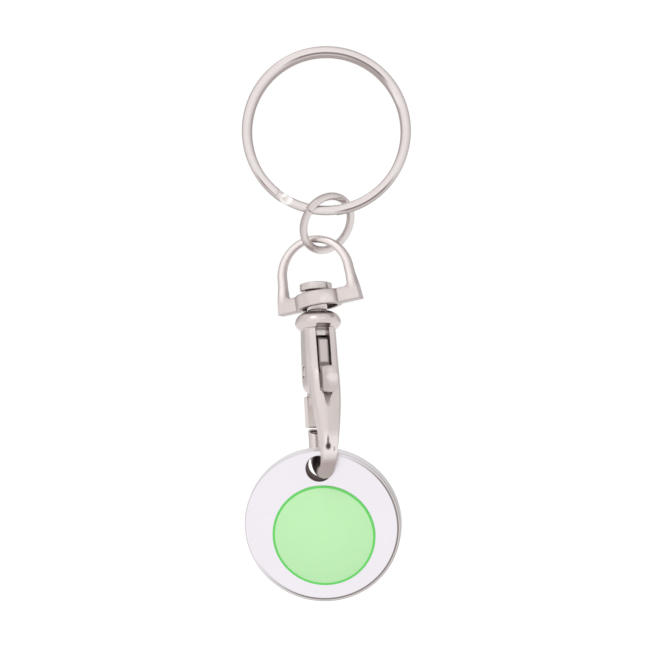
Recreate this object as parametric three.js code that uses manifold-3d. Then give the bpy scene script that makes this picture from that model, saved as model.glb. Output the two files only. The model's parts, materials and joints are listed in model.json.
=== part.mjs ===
// A trolley coin keyring, hanging: split ring, jump ring, swivel bail, trigger hook and coin.
// Millimetres, +Z up. The origin is the inside of the split ring at its top, where the ring hangs.
// X runs to the right and Y away from the viewer, who faces the coin.

import * as THREE from "three";
import { mergeVertices } from "three/addons/utils/BufferGeometryUtils.js";
import Module from "manifold-3d";

const wasm = await Module();
wasm.setup();

// Clearances
const pinClearance = 0.15;
const slotClearance = 0.24;
const swivelClearance = 0.6;
const tailClearance = 0.2;
const headLift = 0.36;
const collarLift = 0.6;
const springClearance = 0.16;
const printClearance = 0.05;
const cutOverrun = 3;

// Split ring: flattened wire, two coils that sit a little apart
const ringDiameter = 25;
const ringWireWidth = 1.4;
const ringWireThickness = 0.62;
const ringWireCorner = 0.24;
const ringCoilGap = 0.42;
const ringCoilDrop = 0.22;
const ringCoilTuck = 0.12;
const ringStartAngle = 38;
const ringJoggleAngles = [385, 396];
const ringEndAngle = 713;
const ringSteps = [56, 6, 52];

// Jump ring: round wire, cut at its upper left
const jumpRingDiameter = 9.56;
const jumpWireDiameter = 1.15;
const jumpTurn = 33.5;
const jumpLean = 23.85;
const jumpBack = 0.967;
const jumpSide = 0.08;
const jumpPlay = 0.7;
const jumpCutWidth = 0.16;
const jumpCutStep = 0.14;
const jumpCutAngle = 139;

// Swivel bail: a D with a base bar, and a round boss in the middle of the bar
const bailArchRadius = 5.33;
const bailWireWidth = 1.42;
const bailCrownWidth = 1.08;
const bailWireDepth = 1.3;
const bailFootDepth = 1.75;
const bailFillet = 0.6;
const bailLegLength = 3.85;
const bailFlare = 0.4;
const bailBaseHeight = 2.2;
const bailBaseDepth = 1.9;
const bailBossDiameter = 6.9;
const bailBossShift = 0.15;
const bailEdge = 0.16;
const bailRecessDiameter = 5.2;
const bailRecessDepth = 0.55;
const bailPlay = 0.18;
const bailSide = 1.58;
const bailBack = 1;
const bailRoll = 9.2;
const bailTilt = 9.2;
const bailTurn = 20;
const bailWirePower = 2.6;
const bailWireSides = 14;

// Swivel rivet
const rivetHeadDiameter = 4.75;
const rivetHeadHeight = 1.32;
const rivetHeadEdge = 0.36;
const rivetNeckDiameter = 3;
const rivetTailDiameter = 2.4;
const rivetTailReach = 3.4;
const rivetShift = 0.35;
const rivetRoll = 5.75;

// Hook body: collar, slotted housing, front leg, bend and tip
const hookTurn = 17.5;
const hookLength = 24.6;
const hookReach = 6.7;
const collarDiameter = 6.8;
const collarHeight = 2.6;
const housingWidth = 5.1;
const housingDepth = 5.6;
const housingLength = 12.2;
const slotTop = 2.15;
const slotBottom = 12.1;
const backWallThickness = 0.75;
const backWallLength = 4.4;
const grooveLength = 2.5;
const grooveDepth = 0.7;
const grooveSide = 0.35;
const tipDropShare = 0.6972;
const tipSlope = 29.4;
const tipRecessDiameter = 1.5;
const tipRecessDepth = 0.5;
const housingPower = 2.8;
const housingSides = 40;
const legPower = 2.2;
const legSides = 24;

// Gate lever, turning on the pin
const pinDiameter = 1.4;
const pinBack = 0.5;
const pinDrop = 8.9;
const leverThickness = 1.6;
const hubDiameter = 3;
const armHeight = 4.85;
const armThickness = 1.25;
const armForward = 2.6;
const knobWidth = 2.8;
const knobHeight = 4.1;
const knobDepth = 1.35;
const knobForward = 3.75;
const knobDrop = 1.7;
const knobWebHeight = 2.5;
const gateWidth = 2.7;
const gateThickness = 1.4;
const gateEndGap = 0.26;
const gateSwingGap = 0.2;
const gateEdge = 0.25;
const gateTopGap = -0.2;

// Gate spring
const springDiameter = 1.5;
const springWireDiameter = 0.26;
const springPitch = 0.7;
const springHeight = 3.75;

// Coin, hanging on the hook by the hole near its rim
const coinDiameter = 23.25;
const coinThickness = 2.1;
const coinEdge = 0.16;
const coinHoleDiameter = 3.9;
const coinHoleEdge = 0.12;
const coinWeb = 0.82;
const coinBack = 2.64;
const coinShift = 0.25;
const coinLift = 0.88;
const coinLean = 23.2;
const coinTurn = -5.4;
const coinRoll = 0.2;
const printDiameter = 15.3;
const printThickness = 0.12;
const printRimGap = 2.58;
const printSide = 0.13;

const radians = THREE.MathUtils.degToRad;

// Geometry helpers

function asSolid(geometry) {
  const bare = new THREE.BufferGeometry();
  bare.setAttribute("position", geometry.getAttribute("position").clone());
  if (geometry.index) bare.setIndex(geometry.index.clone());
  const merged = mergeVertices(bare, 1e-5);
  const solid = new wasm.Manifold(
    new wasm.Mesh({
      numProp: 3,
      vertProperties: new Float32Array(merged.attributes.position.array),
      triVerts: new Uint32Array(merged.index.array),
    })
  );
  return solid;
}

function asGeometry(solid) {
  const mesh = solid.getMesh();
  const geometry = new THREE.BufferGeometry();
  geometry.setAttribute("position", new THREE.BufferAttribute(mesh.vertProperties, 3));
  geometry.setIndex(new THREE.BufferAttribute(mesh.triVerts, 1));
  geometry.computeVertexNormals();
  return geometry;
}

// Joins rings of points, all of one count, into a closed skin with flat ends.
function loft(rings) {
  const sides = rings[0].length;
  const positions = rings.flat().flatMap((point) => point.toArray());
  const faces = [];
  for (let ring = 0; ring + 1 < rings.length; ring += 1) {
    for (let side = 0; side < sides; side += 1) {
      const a = ring * sides + side;
      const b = ring * sides + ((side + 1) % sides);
      faces.push(a, b, b + sides, a, b + sides, a + sides);
    }
  }
  const last = (rings.length - 1) * sides;
  for (let side = 1; side + 1 < sides; side += 1) {
    faces.push(0, side + 1, side, last, last + side, last + side + 1);
  }
  const geometry = new THREE.BufferGeometry();
  geometry.setAttribute("position", new THREE.Float32BufferAttribute(positions, 3));
  geometry.setIndex(signedVolume(positions, faces) < 0 ? turnedOver(faces) : faces);
  geometry.computeVertexNormals();
  return geometry;
}

function turnedOver(faces) {
  const turned = [];
  for (let k = 0; k < faces.length; k += 3) {
    turned.push(faces[k], faces[k + 2], faces[k + 1]);
  }
  return turned;
}

function signedVolume(positions, faces) {
  const corner = (k) => new THREE.Vector3().fromArray(positions, 3 * k);
  let volume = 0;
  for (let k = 0; k < faces.length; k += 3) {
    volume += corner(faces[k]).dot(corner(faces[k + 1]).cross(corner(faces[k + 2]))) / 6;
  }
  return volume;
}

// Outline points of a bar with rounded corners.
function roundedBar(width, thickness, corner, cornerSteps) {
  const points = [];
  for (let quarter = 0; quarter < 4; quarter += 1) {
    const across = quarter === 0 || quarter === 3 ? 1 : -1;
    const up = quarter < 2 ? 1 : -1;
    for (let step = 0; step <= cornerSteps; step += 1) {
      const angle = (quarter + step / cornerSteps) * (Math.PI / 2);
      const u = across * (width / 2 - corner) + corner * Math.cos(angle);
      const v = up * (thickness / 2 - corner) + corner * Math.sin(angle);
      points.push([u, v]);
    }
  }
  return points;
}

// Outline points of an oval whose sides flatten as the power rises.
function oval(halfWidth, halfDepth, power, sides) {
  const points = [];
  for (let side = 0; side < sides; side += 1) {
    const angle = (side / sides) * 2 * Math.PI;
    const bend = (value) => Math.sign(value) * Math.abs(value) ** (2 / power);
    points.push([halfWidth * bend(Math.cos(angle)), halfDepth * bend(Math.sin(angle))]);
  }
  return points;
}

// Sets an outline at a point, with its two directions.
function placedOutline(outline, centre, across, up) {
  return outline.map(([u, v]) =>
    centre.clone().addScaledVector(across, u).addScaledVector(up, v)
  );
}

// The least distance between rings of points that lie more than a few rings apart.
function leastGap(rings, ringsApart) {
  let least = Infinity;
  for (let a = 0; a < rings.length; a += 1) {
    for (let b = a + ringsApart; b < rings.length; b += 1) {
      for (const one of rings[a]) {
        for (const other of rings[b]) {
          least = Math.min(least, one.distanceTo(other));
        }
      }
    }
  }
  return least;
}

// A bar that stands along Z between two heights.
function standingCylinder(radius, bottom, top, sides) {
  const geometry = new THREE.CylinderGeometry(radius, radius, top - bottom, sides);
  geometry.rotateX(Math.PI / 2);
  geometry.translate(0, 0, (top + bottom) / 2);
  return geometry;
}

// A side view outline in Y and Z, given a width along X.
function sideExtrusion(points, width, edge = 0) {
  const shape = new THREE.Shape(points.map(([y, z]) => new THREE.Vector2(y, z)));
  const geometry = new THREE.ExtrudeGeometry(shape, {
    depth: width - 2 * edge,
    bevelEnabled: edge > 0,
    bevelSize: edge,
    bevelOffset: -edge,
    bevelThickness: edge,
    bevelSegments: 2,
  });
  geometry.translate(0, 0, -(width - 2 * edge) / 2);
  geometry.applyMatrix4(
    new THREE.Matrix4().makeBasis(
      new THREE.Vector3(0, 1, 0),
      new THREE.Vector3(0, 0, 1),
      new THREE.Vector3(1, 0, 0)
    )
  );
  return geometry;
}

function metal(color, roughness) {
  return new THREE.MeshStandardMaterial({ color, roughness, metalness: 1 });
}

function part(name, geometry, material) {
  const mesh = new THREE.Mesh(geometry, material);
  mesh.name = name;
  return mesh;
}

// Split ring

const ringWireRadius = ringDiameter / 2 - ringWireWidth / 2;
const ringCentreHeight = -(ringWireRadius - ringCoilTuck - ringWireWidth / 2) + ringCoilDrop;
const ringBottomHeight = ringCentreHeight - ringWireRadius;

function coilShare(angle) {
  const [from, to] = ringJoggleAngles;
  return THREE.MathUtils.smoothstep(angle, from, to);
}

function splitRing() {
  const stops = [ringStartAngle, ...ringJoggleAngles, ringEndAngle];
  const angles = [stops[0]];
  ringSteps.forEach((count, stretch) => {
    for (let step = 1; step <= count; step += 1) {
      angles.push(THREE.MathUtils.lerp(stops[stretch], stops[stretch + 1], step / count));
    }
  });
  const outline = roundedBar(ringWireWidth, ringWireThickness, ringWireCorner, 2);
  const coilSpacing = ringWireThickness + ringCoilGap;
  const rings = angles.map((angle) => {
    const share = coilShare(angle);
    const outward = new THREE.Vector3(-Math.sin(radians(angle)), 0, -Math.cos(radians(angle)));
    const centre = new THREE.Vector3(
      0,
      (share - 0.5) * coilSpacing,
      ringCentreHeight - share * ringCoilDrop
    );
    centre.addScaledVector(outward, ringWireRadius - share * ringCoilTuck);
    return placedOutline(outline, centre, outward, new THREE.Vector3(0, 1, 0));
  });
  console.log(`split ring, least gap to itself: ${leastGap(rings, 12).toFixed(3)} mm`);
  return loft(rings);
}

// Jump ring

const jumpRadius = (jumpRingDiameter - jumpWireDiameter) / 2;
const jumpTopHeight = ringBottomHeight + ringWireWidth / 2 + jumpPlay + jumpWireDiameter / 2;
const jumpCentreHeight = jumpTopHeight - jumpRadius * Math.cos(radians(jumpLean));
const jumpBottomHeight = jumpCentreHeight - jumpRadius * Math.cos(radians(jumpLean));

function jumpRing() {
  const outline = oval(jumpWireDiameter / 2, jumpWireDiameter / 2, 2, 12);
  const cutAngle = THREE.MathUtils.radToDeg(jumpCutWidth / jumpRadius);
  const steps = 56;
  const rings = [];
  for (let step = 0; step <= steps; step += 1) {
    const share = step / steps;
    const angle = radians(jumpCutAngle + cutAngle / 2 + share * (360 - cutAngle));
    const outward = new THREE.Vector3(Math.cos(angle), 0, Math.sin(angle));
    const sideStep = (share - 0.5) * jumpCutStep;
    const centre = outward.clone().multiplyScalar(jumpRadius).setY(sideStep);
    rings.push(placedOutline(outline, centre, outward, new THREE.Vector3(0, 1, 0)));
  }
  return loft(rings);
}

// Swivel bail, drawn about the centre of its arch

const bailBaseTop = -bailLegLength + bailBaseHeight / 2;
const bailBaseBottom = -bailLegLength - bailBaseHeight / 2;
const bailHoleDiameter = rivetNeckDiameter + 2 * swivelClearance;

function bailWire() {
  const rings = [];
  const forward = new THREE.Vector3(0, 1, 0);
  const archSteps = 26;
  const addRing = (width, depth, centre, outward) => {
    const outline = oval(width / 2, depth / 2, bailWirePower, bailWireSides);
    rings.push(placedOutline(outline, centre, outward, forward));
  };
  // The foot of each leg widens on its inner side, in a quarter round above the base.
  const addLeg = (side, height) => {
    const share = Math.min(Math.max((height - bailBaseTop) / bailFillet, 0), 1);
    const spread = bailFillet * (1 - Math.sqrt(1 - (1 - share) ** 2));
    const distance = bailArchRadius - (bailFlare * height) / bailLegLength;
    const centre = new THREE.Vector3(side * (distance - spread / 2), 0, height);
    const depth = THREE.MathUtils.lerp(bailWireDepth, bailFootDepth, height / bailBaseTop);
    addRing(bailWireWidth + spread, depth, centre, new THREE.Vector3(side, 0, 0));
  };
  const filletHeights = [0, 0.2, 0.5, 1].map((share) => bailBaseTop + share * bailFillet);
  const heights = [-bailLegLength, ...filletHeights, filletHeights[3] / 2];
  heights.forEach((height) => addLeg(1, height));
  for (let step = 0; step <= archSteps; step += 1) {
    const angle = (step / archSteps) * Math.PI;
    const outward = new THREE.Vector3(Math.cos(angle), 0, Math.sin(angle));
    const width = THREE.MathUtils.lerp(bailWireWidth, bailCrownWidth, Math.sin(angle));
    addRing(width, bailWireDepth, outward.clone().multiplyScalar(bailArchRadius), outward);
  }
  heights.reverse().forEach((height) => addLeg(-1, height));
  return loft(rings);
}

// The base bar, with ends that carry on the slope of the legs, and the boss in the bar.
function bailBase() {
  const wireEdge = bailArchRadius + bailWireWidth / 2 - bailEdge;
  const halfLength = (height) => wireEdge - (bailFlare * height) / bailLegLength;
  const low = bailBaseBottom + bailEdge;
  const high = bailBaseTop - bailEdge;
  const shape = new THREE.Shape();
  shape.moveTo(-halfLength(low), low);
  shape.lineTo(halfLength(low), low);
  shape.lineTo(halfLength(high), high);
  shape.lineTo(-halfLength(high), high);
  shape.closePath();
  const bar = new THREE.ExtrudeGeometry(shape, {
    depth: bailBaseDepth - 2 * bailEdge,
    bevelEnabled: true,
    bevelSize: bailEdge,
    bevelThickness: bailEdge,
    bevelSegments: 2,
  });
  bar.translate(0, 0, -(bailBaseDepth - 2 * bailEdge) / 2);
  bar.rotateX(Math.PI / 2);
  const radius = bailBossDiameter / 2;
  const boss = new THREE.LatheGeometry(
    [
      new THREE.Vector2(0, bailBaseBottom),
      new THREE.Vector2(radius - bailEdge, bailBaseBottom),
      new THREE.Vector2(radius, low),
      new THREE.Vector2(radius, high),
      new THREE.Vector2(radius - bailEdge, bailBaseTop),
      new THREE.Vector2(0, bailBaseTop),
    ],
    40
  );
  boss.rotateX(Math.PI / 2);
  boss.translate(-bailBossShift, 0, 0);
  return asSolid(bar).add(asSolid(boss));
}

function swivelBail() {
  const hole = standingCylinder(
    bailHoleDiameter / 2,
    bailBaseBottom - cutOverrun,
    bailBaseTop + cutOverrun,
    32
  );
  const recess = standingCylinder(
    bailRecessDiameter / 2,
    bailBaseBottom - cutOverrun,
    bailBaseBottom + bailRecessDepth,
    32
  );
  hole.translate(-bailBossShift, 0, 0);
  recess.translate(-bailBossShift, 0, 0);
  return asGeometry(
    asSolid(bailWire())
      .add(bailBase())
      .subtract(asSolid(hole))
      .subtract(asSolid(recess))
  );
}

// Swivel rivet, drawn about the middle of the base of the bail

const rivetHeadBottom = bailBaseHeight / 2 + headLift;
const collarTop = -(bailBaseHeight / 2 + collarLift);

function swivelRivet() {
  const headRadius = rivetHeadDiameter / 2;
  const headTop = rivetHeadBottom + rivetHeadHeight;
  const neckRadius = rivetNeckDiameter / 2;
  const tailRadius = rivetTailDiameter / 2;
  const neckBottom = collarTop + tailClearance;
  const domeShares = [0, 0.35, 0.62, 0.82, 0.94, 1];
  const profile = [new THREE.Vector2(0, headTop)];
  domeShares.slice(1).forEach((share) => {
    const drop = rivetHeadEdge * (1 - Math.sqrt(1 - share * share));
    profile.push(new THREE.Vector2(headRadius * share, headTop - drop));
  });
  profile.push(new THREE.Vector2(headRadius, rivetHeadBottom + rivetHeadEdge / 3));
  profile.push(new THREE.Vector2(headRadius - rivetHeadEdge / 3, rivetHeadBottom));
  profile.push(new THREE.Vector2(neckRadius, rivetHeadBottom));
  profile.push(new THREE.Vector2(neckRadius, neckBottom));
  profile.push(new THREE.Vector2(tailRadius, neckBottom));
  profile.push(new THREE.Vector2(tailRadius, collarTop - rivetTailReach + rivetHeadEdge / 2));
  profile.push(new THREE.Vector2(tailRadius - rivetHeadEdge / 2, collarTop - rivetTailReach));
  profile.push(new THREE.Vector2(0, collarTop - rivetTailReach));
  const geometry = new THREE.LatheGeometry(profile.reverse(), 32);
  geometry.rotateX(Math.PI / 2);
  return geometry;
}

// Hook body, drawn about the top of its collar, with its front leg towards -Y

const housingHalfWidth = housingWidth / 2;
const housingFront = -housingDepth * 0.45;
const housingBack = housingDepth + housingFront;
const slotWidth = leverThickness + 2 * slotClearance;
const backWallInside = housingBack - backWallThickness;

// Each row: height share of the housing's length, half width, front and back as shares.
const housingShares = [
  [0.14, 0.93, 0.84, 0.8],
  [0.24, 0.97, 0.88, 0.86],
  [0.4, 0.99, 0.93, 0.94],
  [0.6, 1, 0.98, 1],
  [0.78, 1.02, 1.03, 1],
  [0.88, 1.02, 1.06, 0.93],
  [0.95, 0.97, 1.06, 0.72],
  [1, 0.84, 1, 0.36],
];

function housing() {
  const rings = housingShares.map(([drop, width, front, back]) => {
    const low = front * housingFront;
    const high = back * housingBack;
    const centre = new THREE.Vector3(0, (low + high) / 2, -drop * housingLength);
    const outline = oval(width * housingHalfWidth, (high - low) / 2, housingPower, housingSides);
    return placedOutline(outline, centre, new THREE.Vector3(1, 0, 0), new THREE.Vector3(0, 1, 0));
  });
  return loft(rings);
}

// Each row: reach share, drop share, and half width and half depth as shares of the housing's.
const legShares = [
  [-0.1, 0.3, 0.86, 0.58],
  [-0.21, 0.45, 0.92, 0.6],
  [-0.285, 0.58, 0.84, 0.55],
  [-0.315, 0.7, 0.7, 0.5],
  [-0.305, 0.793, 0.58, 0.44],
  [-0.23, 0.89, 0.47, 0.38],
  [-0.015, 0.96, 0.4, 0.345],
  [0.27, 0.953, 0.385, 0.34],
  [0.52, 0.905, 0.385, 0.345],
  [0.672, 0.825, 0.4, 0.36],
  [0.7, 0.76, 0.41, 0.37],
  [0.7, 0.66, 0.41, 0.37],
];
const legSteps = 44;

function leg() {
  const curve = new THREE.CatmullRomCurve3(
    legShares.map(([reach, drop]) => new THREE.Vector3(0, reach * hookReach, -drop * hookLength)),
    false,
    "centripetal"
  );
  const across = new THREE.Vector3(1, 0, 0);
  const rings = [];
  for (let step = 0; step <= legSteps; step += 1) {
    const along = step / legSteps;
    const place = along * (legShares.length - 1);
    const row = Math.min(Math.floor(place), legShares.length - 2);
    const between = place - row;
    const width = THREE.MathUtils.lerp(legShares[row][2], legShares[row + 1][2], between);
    const depth = THREE.MathUtils.lerp(legShares[row][3], legShares[row + 1][3], between);
    const outline = oval(
      width * housingHalfWidth,
      (depth * housingDepth) / 2,
      legPower,
      legSides
    );
    const inward = new THREE.Vector3().crossVectors(across, curve.getTangent(along));
    rings.push(placedOutline(outline, curve.getPoint(along), across, inward));
  }
  return loft(rings);
}

function collar() {
  const radius = collarDiameter / 2;
  // Each row: radius share, height share of the collar.
  const profileShares = [
    [0, 0],
    [0.52, 0],
    [0.72, 0.08],
    [0.87, 0.23],
    [0.97, 0.44],
    [1, 0.62],
    [0.97, 0.78],
    [0.88, 0.91],
    [0.76, 1],
    [0, 1],
  ];
  const profile = profileShares.map(
    ([out, down]) => new THREE.Vector2(out * radius, -down * collarHeight)
  );
  const geometry = new THREE.LatheGeometry(profile.reverse(), 48);
  geometry.rotateX(Math.PI / 2);
  return geometry;
}

function slotCutter() {
  const outside = -housingDepth - cutOverrun;
  const backOutside = housingBack + hookReach;
  const openTop = -slotTop - backWallLength;
  return sideExtrusion(
    [
      [outside, -slotTop],
      [backWallInside, -slotTop],
      [backWallInside, openTop],
      [backOutside, openTop],
      [backOutside, -slotBottom - cutOverrun],
      [pinBack, -slotBottom - cutOverrun],
      [pinBack, -slotBottom],
      [outside, -slotBottom],
    ],
    slotWidth
  );
}

// The slot runs out on the front leg in a shallow V below the knob.
function grooveCutter() {
  const [reach, , , depth] = legShares[2];
  const legFront = reach * hookReach - (depth * housingDepth) / 2;
  const surface = legFront - cutOverrun;
  const deep = legFront + grooveDepth;
  const half = slotWidth / 2;
  const ringAt = (height) => [
    new THREE.Vector3(-half, surface, height),
    new THREE.Vector3(half, surface, height),
    new THREE.Vector3(half * 0.7, deep, height),
    new THREE.Vector3(-half * 0.7, deep, height),
  ];
  const upper = ringAt(-slotBottom);
  const tip = new THREE.Vector3(-grooveSide, legFront, -slotBottom - grooveLength);
  const lower = upper.map((point) => point.clone().lerp(tip, 0.9));
  return loft([ringAt(-slotBottom + grooveDepth), upper, lower]);
}

const tipPlace = legShares[legShares.length - 1][0] * hookReach;
const tipDrop = tipDropShare * hookLength;

// Sets a cutter on the end of the tip, which slopes down towards the front leg.
function onTip(geometry) {
  geometry.rotateX(radians(tipSlope));
  geometry.translate(0, tipPlace, -tipDrop);
  return asSolid(geometry);
}

// What lies over the end of the tip, and the small socket in that end.
function tipCutter() {
  const over = new THREE.BoxGeometry(housingWidth, housingDepth, cutOverrun);
  over.translate(0, 0, cutOverrun / 2);
  const socket = standingCylinder(tipRecessDiameter / 2, -tipRecessDepth, cutOverrun, 24);
  return onTip(over).add(onTip(socket));
}

function crossPin(diameter, length, sides) {
  const geometry = new THREE.CylinderGeometry(diameter / 2, diameter / 2, length, sides);
  geometry.rotateZ(Math.PI / 2);
  geometry.translate(0, pinBack, -pinDrop);
  return geometry;
}

function hookBody() {
  const tailBore = standingCylinder(
    rivetTailDiameter / 2 + tailClearance,
    -rivetTailReach - tailClearance,
    cutOverrun,
    24
  );
  const pinBore = crossPin(pinDiameter + 2 * pinClearance, housingWidth + cutOverrun, 24);
  return asGeometry(
    asSolid(collar())
      .add(asSolid(housing()))
      .add(asSolid(leg()))
      .subtract(asSolid(slotCutter()))
      .subtract(asSolid(grooveCutter()))
      .subtract(asSolid(tailBore))
      .subtract(asSolid(pinBore))
      .subtract(tipCutter())
  );
}

function gatePin() {
  return crossPin(pinDiameter, housingWidth * 0.99, 24);
}

// Gate lever

// The end of the gate keeps clear of the sloping end of the tip, shut and while it swings.
const tipAngle = radians(tipSlope);
const gateTop = -housingLength - gateTopGap;
const gateMiddle = tipPlace - gateThickness / 8;
const gateOverTip = (gateMiddle + gateThickness / 2 - tipPlace) * Math.tan(tipAngle);
const gateEnd = gateOverTip - tipDrop + gateEndGap / Math.cos(tipAngle);
const tipFarness = (tipDrop - pinDrop) * Math.cos(tipAngle) + (tipPlace - pinBack) * Math.sin(tipAngle);
const gateSwing = tipFarness - gateSwingGap;

function leverBlade() {
  const hubRadius = hubDiameter / 2;
  const armFront = pinBack - armForward;
  const armBack = armFront + armThickness;
  const armTop = -pinDrop + armHeight;
  const round = armThickness / 3;
  const knobTop = -pinDrop - knobDrop + knobHeight / 2 - round;
  const webBottom = knobTop - knobWebHeight;
  const knobBack = pinBack - knobForward - knobDepth / 4;
  return sideExtrusion(
    [
      [armFront + round, armTop],
      [armBack - round, armTop],
      [armBack, armTop - round],
      [armBack, -pinDrop + hubRadius],
      [pinBack + hubRadius * 0.7, -pinDrop + hubRadius * 0.7],
      [pinBack + hubRadius, -pinDrop],
      [gateMiddle + gateThickness / 2, gateTop + gateThickness / 2],
      [gateMiddle + gateThickness / 2, gateTop - gateThickness],
      [gateMiddle - gateThickness / 2, gateTop - gateThickness],
      [pinBack + hubRadius * 0.3, -pinDrop - hubRadius * 1.35],
      [pinBack - hubRadius * 0.7, -pinDrop - hubRadius],
      [armFront, webBottom],
      [knobBack, webBottom],
      [knobBack, knobTop],
      [armFront, knobTop],
      [armFront, armTop - round],
    ],
    leverThickness
  );
}

function leverGate() {
  const front = gateMiddle - gateThickness / 2;
  const back = gateMiddle + gateThickness / 2;
  return sideExtrusion(
    [
      [front, gateEnd],
      [back, gateEnd],
      [back, gateTop - gateEdge],
      [back - gateEdge, gateTop],
      [front, gateTop],
    ],
    gateWidth,
    gateEdge
  );
}

// The thumb knob: a cushion shape that stands proud of the slot.
function leverKnob() {
  const geometry = new THREE.SphereGeometry(1, 24, 16);
  const places = geometry.getAttribute("position");
  const bend = (value) => Math.sign(value) * Math.abs(value) ** 0.72;
  for (let k = 0; k < places.count; k += 1) {
    places.setXYZ(
      k,
      (bend(places.getX(k)) * knobWidth) / 2,
      (bend(places.getY(k)) * knobDepth) / 2,
      (bend(places.getZ(k)) * knobHeight) / 2
    );
  }
  geometry.translate(0, pinBack - knobForward - knobDepth / 2, -pinDrop - knobDrop);
  return geometry;
}

function gateLever() {
  const hub = crossPin(hubDiameter, leverThickness, 28);
  const swing = crossPin(2 * gateSwing, gateWidth + cutOverrun, 96);
  const bore = crossPin(pinDiameter + 2 * pinClearance, leverThickness + cutOverrun, 24);
  return asGeometry(
    asSolid(leverBlade())
      .add(asSolid(leverGate()).intersect(asSolid(swing)))
      .add(asSolid(leverKnob()))
      .add(asSolid(hub))
      .subtract(asSolid(bore))
  );
}

// Gate spring: an unbroken wire that winds from the arm to the back wall

function gateSpring() {
  const from = pinBack - armForward + armThickness + springClearance;
  const to = backWallInside - springClearance;
  const wire = springWireDiameter;
  const stub = wire;
  const height = -pinDrop + springHeight;
  const radius = (springDiameter - wire) / 2;
  const turns = (to - from - 2 * stub) / springPitch;
  const steps = Math.max(8, Math.round(turns * 8));
  const outline = oval(wire / 2, wire / 2, 2, 5);
  const centres = [new THREE.Vector3(radius, from, height)];
  for (let step = 0; step <= steps; step += 1) {
    const angle = (step / steps) * turns * 2 * Math.PI;
    const along = from + stub + (step / steps) * (to - from - 2 * stub);
    const x = radius * Math.cos(angle);
    centres.push(new THREE.Vector3(x, along, height + radius * Math.sin(angle)));
  }
  const end = centres[centres.length - 1].clone();
  end.y = to;
  centres.push(end);
  const axis = new THREE.Vector3(0, 0, height);
  const rings = centres.map((centre, k) => {
    const before = centres[Math.max(k - 1, 0)];
    const after = centres[Math.min(k + 1, centres.length - 1)];
    const tangent = after.clone().sub(before).normalize();
    const outward = centre.clone().sub(axis).setY(0).normalize();
    outward.addScaledVector(tangent, -outward.dot(tangent)).normalize();
    const side = new THREE.Vector3().crossVectors(tangent, outward);
    return placedOutline(outline, centre, outward, side);
  });
  console.log(`gate spring, least gap to itself: ${leastGap(rings, 5).toFixed(3)} mm`);
  return loft(rings);
}

// Coin, drawn about the middle of its hole, with its face towards -Y

const coinRadius = coinDiameter / 2;
const coinCentreDrop = coinRadius - coinWeb - coinHoleDiameter / 2;

function disc(radius, thickness, edge, sides) {
  const half = thickness / 2;
  const profile = [
    new THREE.Vector2(0, -half),
    new THREE.Vector2(radius - edge, -half),
    new THREE.Vector2(radius, -half + edge),
    new THREE.Vector2(radius, half - edge),
    new THREE.Vector2(radius - edge, half),
    new THREE.Vector2(0, half),
  ];
  return new THREE.LatheGeometry(profile, sides);
}

function trolleyCoin() {
  const blank = disc(coinRadius, coinThickness, coinEdge, 80);
  blank.translate(0, 0, -coinCentreDrop);
  const holeRadius = coinHoleDiameter / 2;
  const half = coinThickness / 2;
  const wide = holeRadius + coinHoleEdge + cutOverrun;
  const out = half + cutOverrun;
  const bore = new THREE.LatheGeometry(
    [
      new THREE.Vector2(0, -out),
      new THREE.Vector2(wide, -out),
      new THREE.Vector2(holeRadius, -half + coinHoleEdge),
      new THREE.Vector2(holeRadius, half - coinHoleEdge),
      new THREE.Vector2(wide, out),
      new THREE.Vector2(0, out),
    ],
    36
  );
  return asGeometry(asSolid(blank).subtract(asSolid(bore)));
}

const printDrop = 2 * coinRadius - coinWeb - coinHoleDiameter / 2 - printRimGap - printDiameter / 2;

function printDisc() {
  const geometry = disc(printDiameter / 2, printThickness, printThickness / 4, 72);
  const front = -coinThickness / 2 - printClearance - printThickness / 2;
  geometry.translate(printSide, front, -printDrop);
  return geometry;
}

// Assembly

const keyring = new THREE.Group();
keyring.add(part("split_ring", splitRing(), metal(0xd9d2cf, 0.22)));

const jumpGroup = new THREE.Group();
jumpGroup.position.set(jumpSide, jumpBack, jumpCentreHeight);
jumpGroup.rotation.set(radians(jumpLean), 0, radians(jumpTurn), "XYZ");
jumpGroup.add(part("jump_ring", jumpRing(), metal(0xdad2d0, 0.24)));
keyring.add(jumpGroup);

// The arch passes over the bottom of the jump ring with the bail's play between them.
const archOverJump = Math.sqrt(bailArchRadius ** 2 - bailSide ** 2);
const archClearance = (jumpWireDiameter + bailCrownWidth) / 2 + bailPlay;
const bailGroup = new THREE.Group();
bailGroup.position.set(-bailSide, bailBack, jumpBottomHeight + archClearance - archOverJump);
bailGroup.rotation.set(radians(-bailTilt), radians(-bailRoll), radians(-bailTurn), "YXZ");
bailGroup.add(part("swivel_bail", swivelBail(), metal(0xd5cdca, 0.26)));
keyring.add(bailGroup);

const swivelGroup = new THREE.Group();
swivelGroup.position.set(-bailBossShift - rivetShift, 0, -bailLegLength);
swivelGroup.rotation.set(0, radians(rivetRoll), radians(bailTurn), "ZYX");
swivelGroup.add(part("swivel_rivet", swivelRivet(), metal(0xd0c8c5, 0.28)));
bailGroup.add(swivelGroup);

const hookGroup = new THREE.Group();
hookGroup.position.set(0, 0, collarTop);
hookGroup.rotation.set(0, 0, radians(hookTurn));
hookGroup.add(part("hook_body", hookBody(), metal(0xcfc5c2, 0.3)));
hookGroup.add(part("gate_lever", gateLever(), metal(0xd2c9c6, 0.3)));
hookGroup.add(part("gate_pin", gatePin(), metal(0xb9b0ad, 0.35)));
hookGroup.add(part("gate_spring", gateSpring(), metal(0xa8a4a2, 0.3)));
swivelGroup.add(hookGroup);

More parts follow.
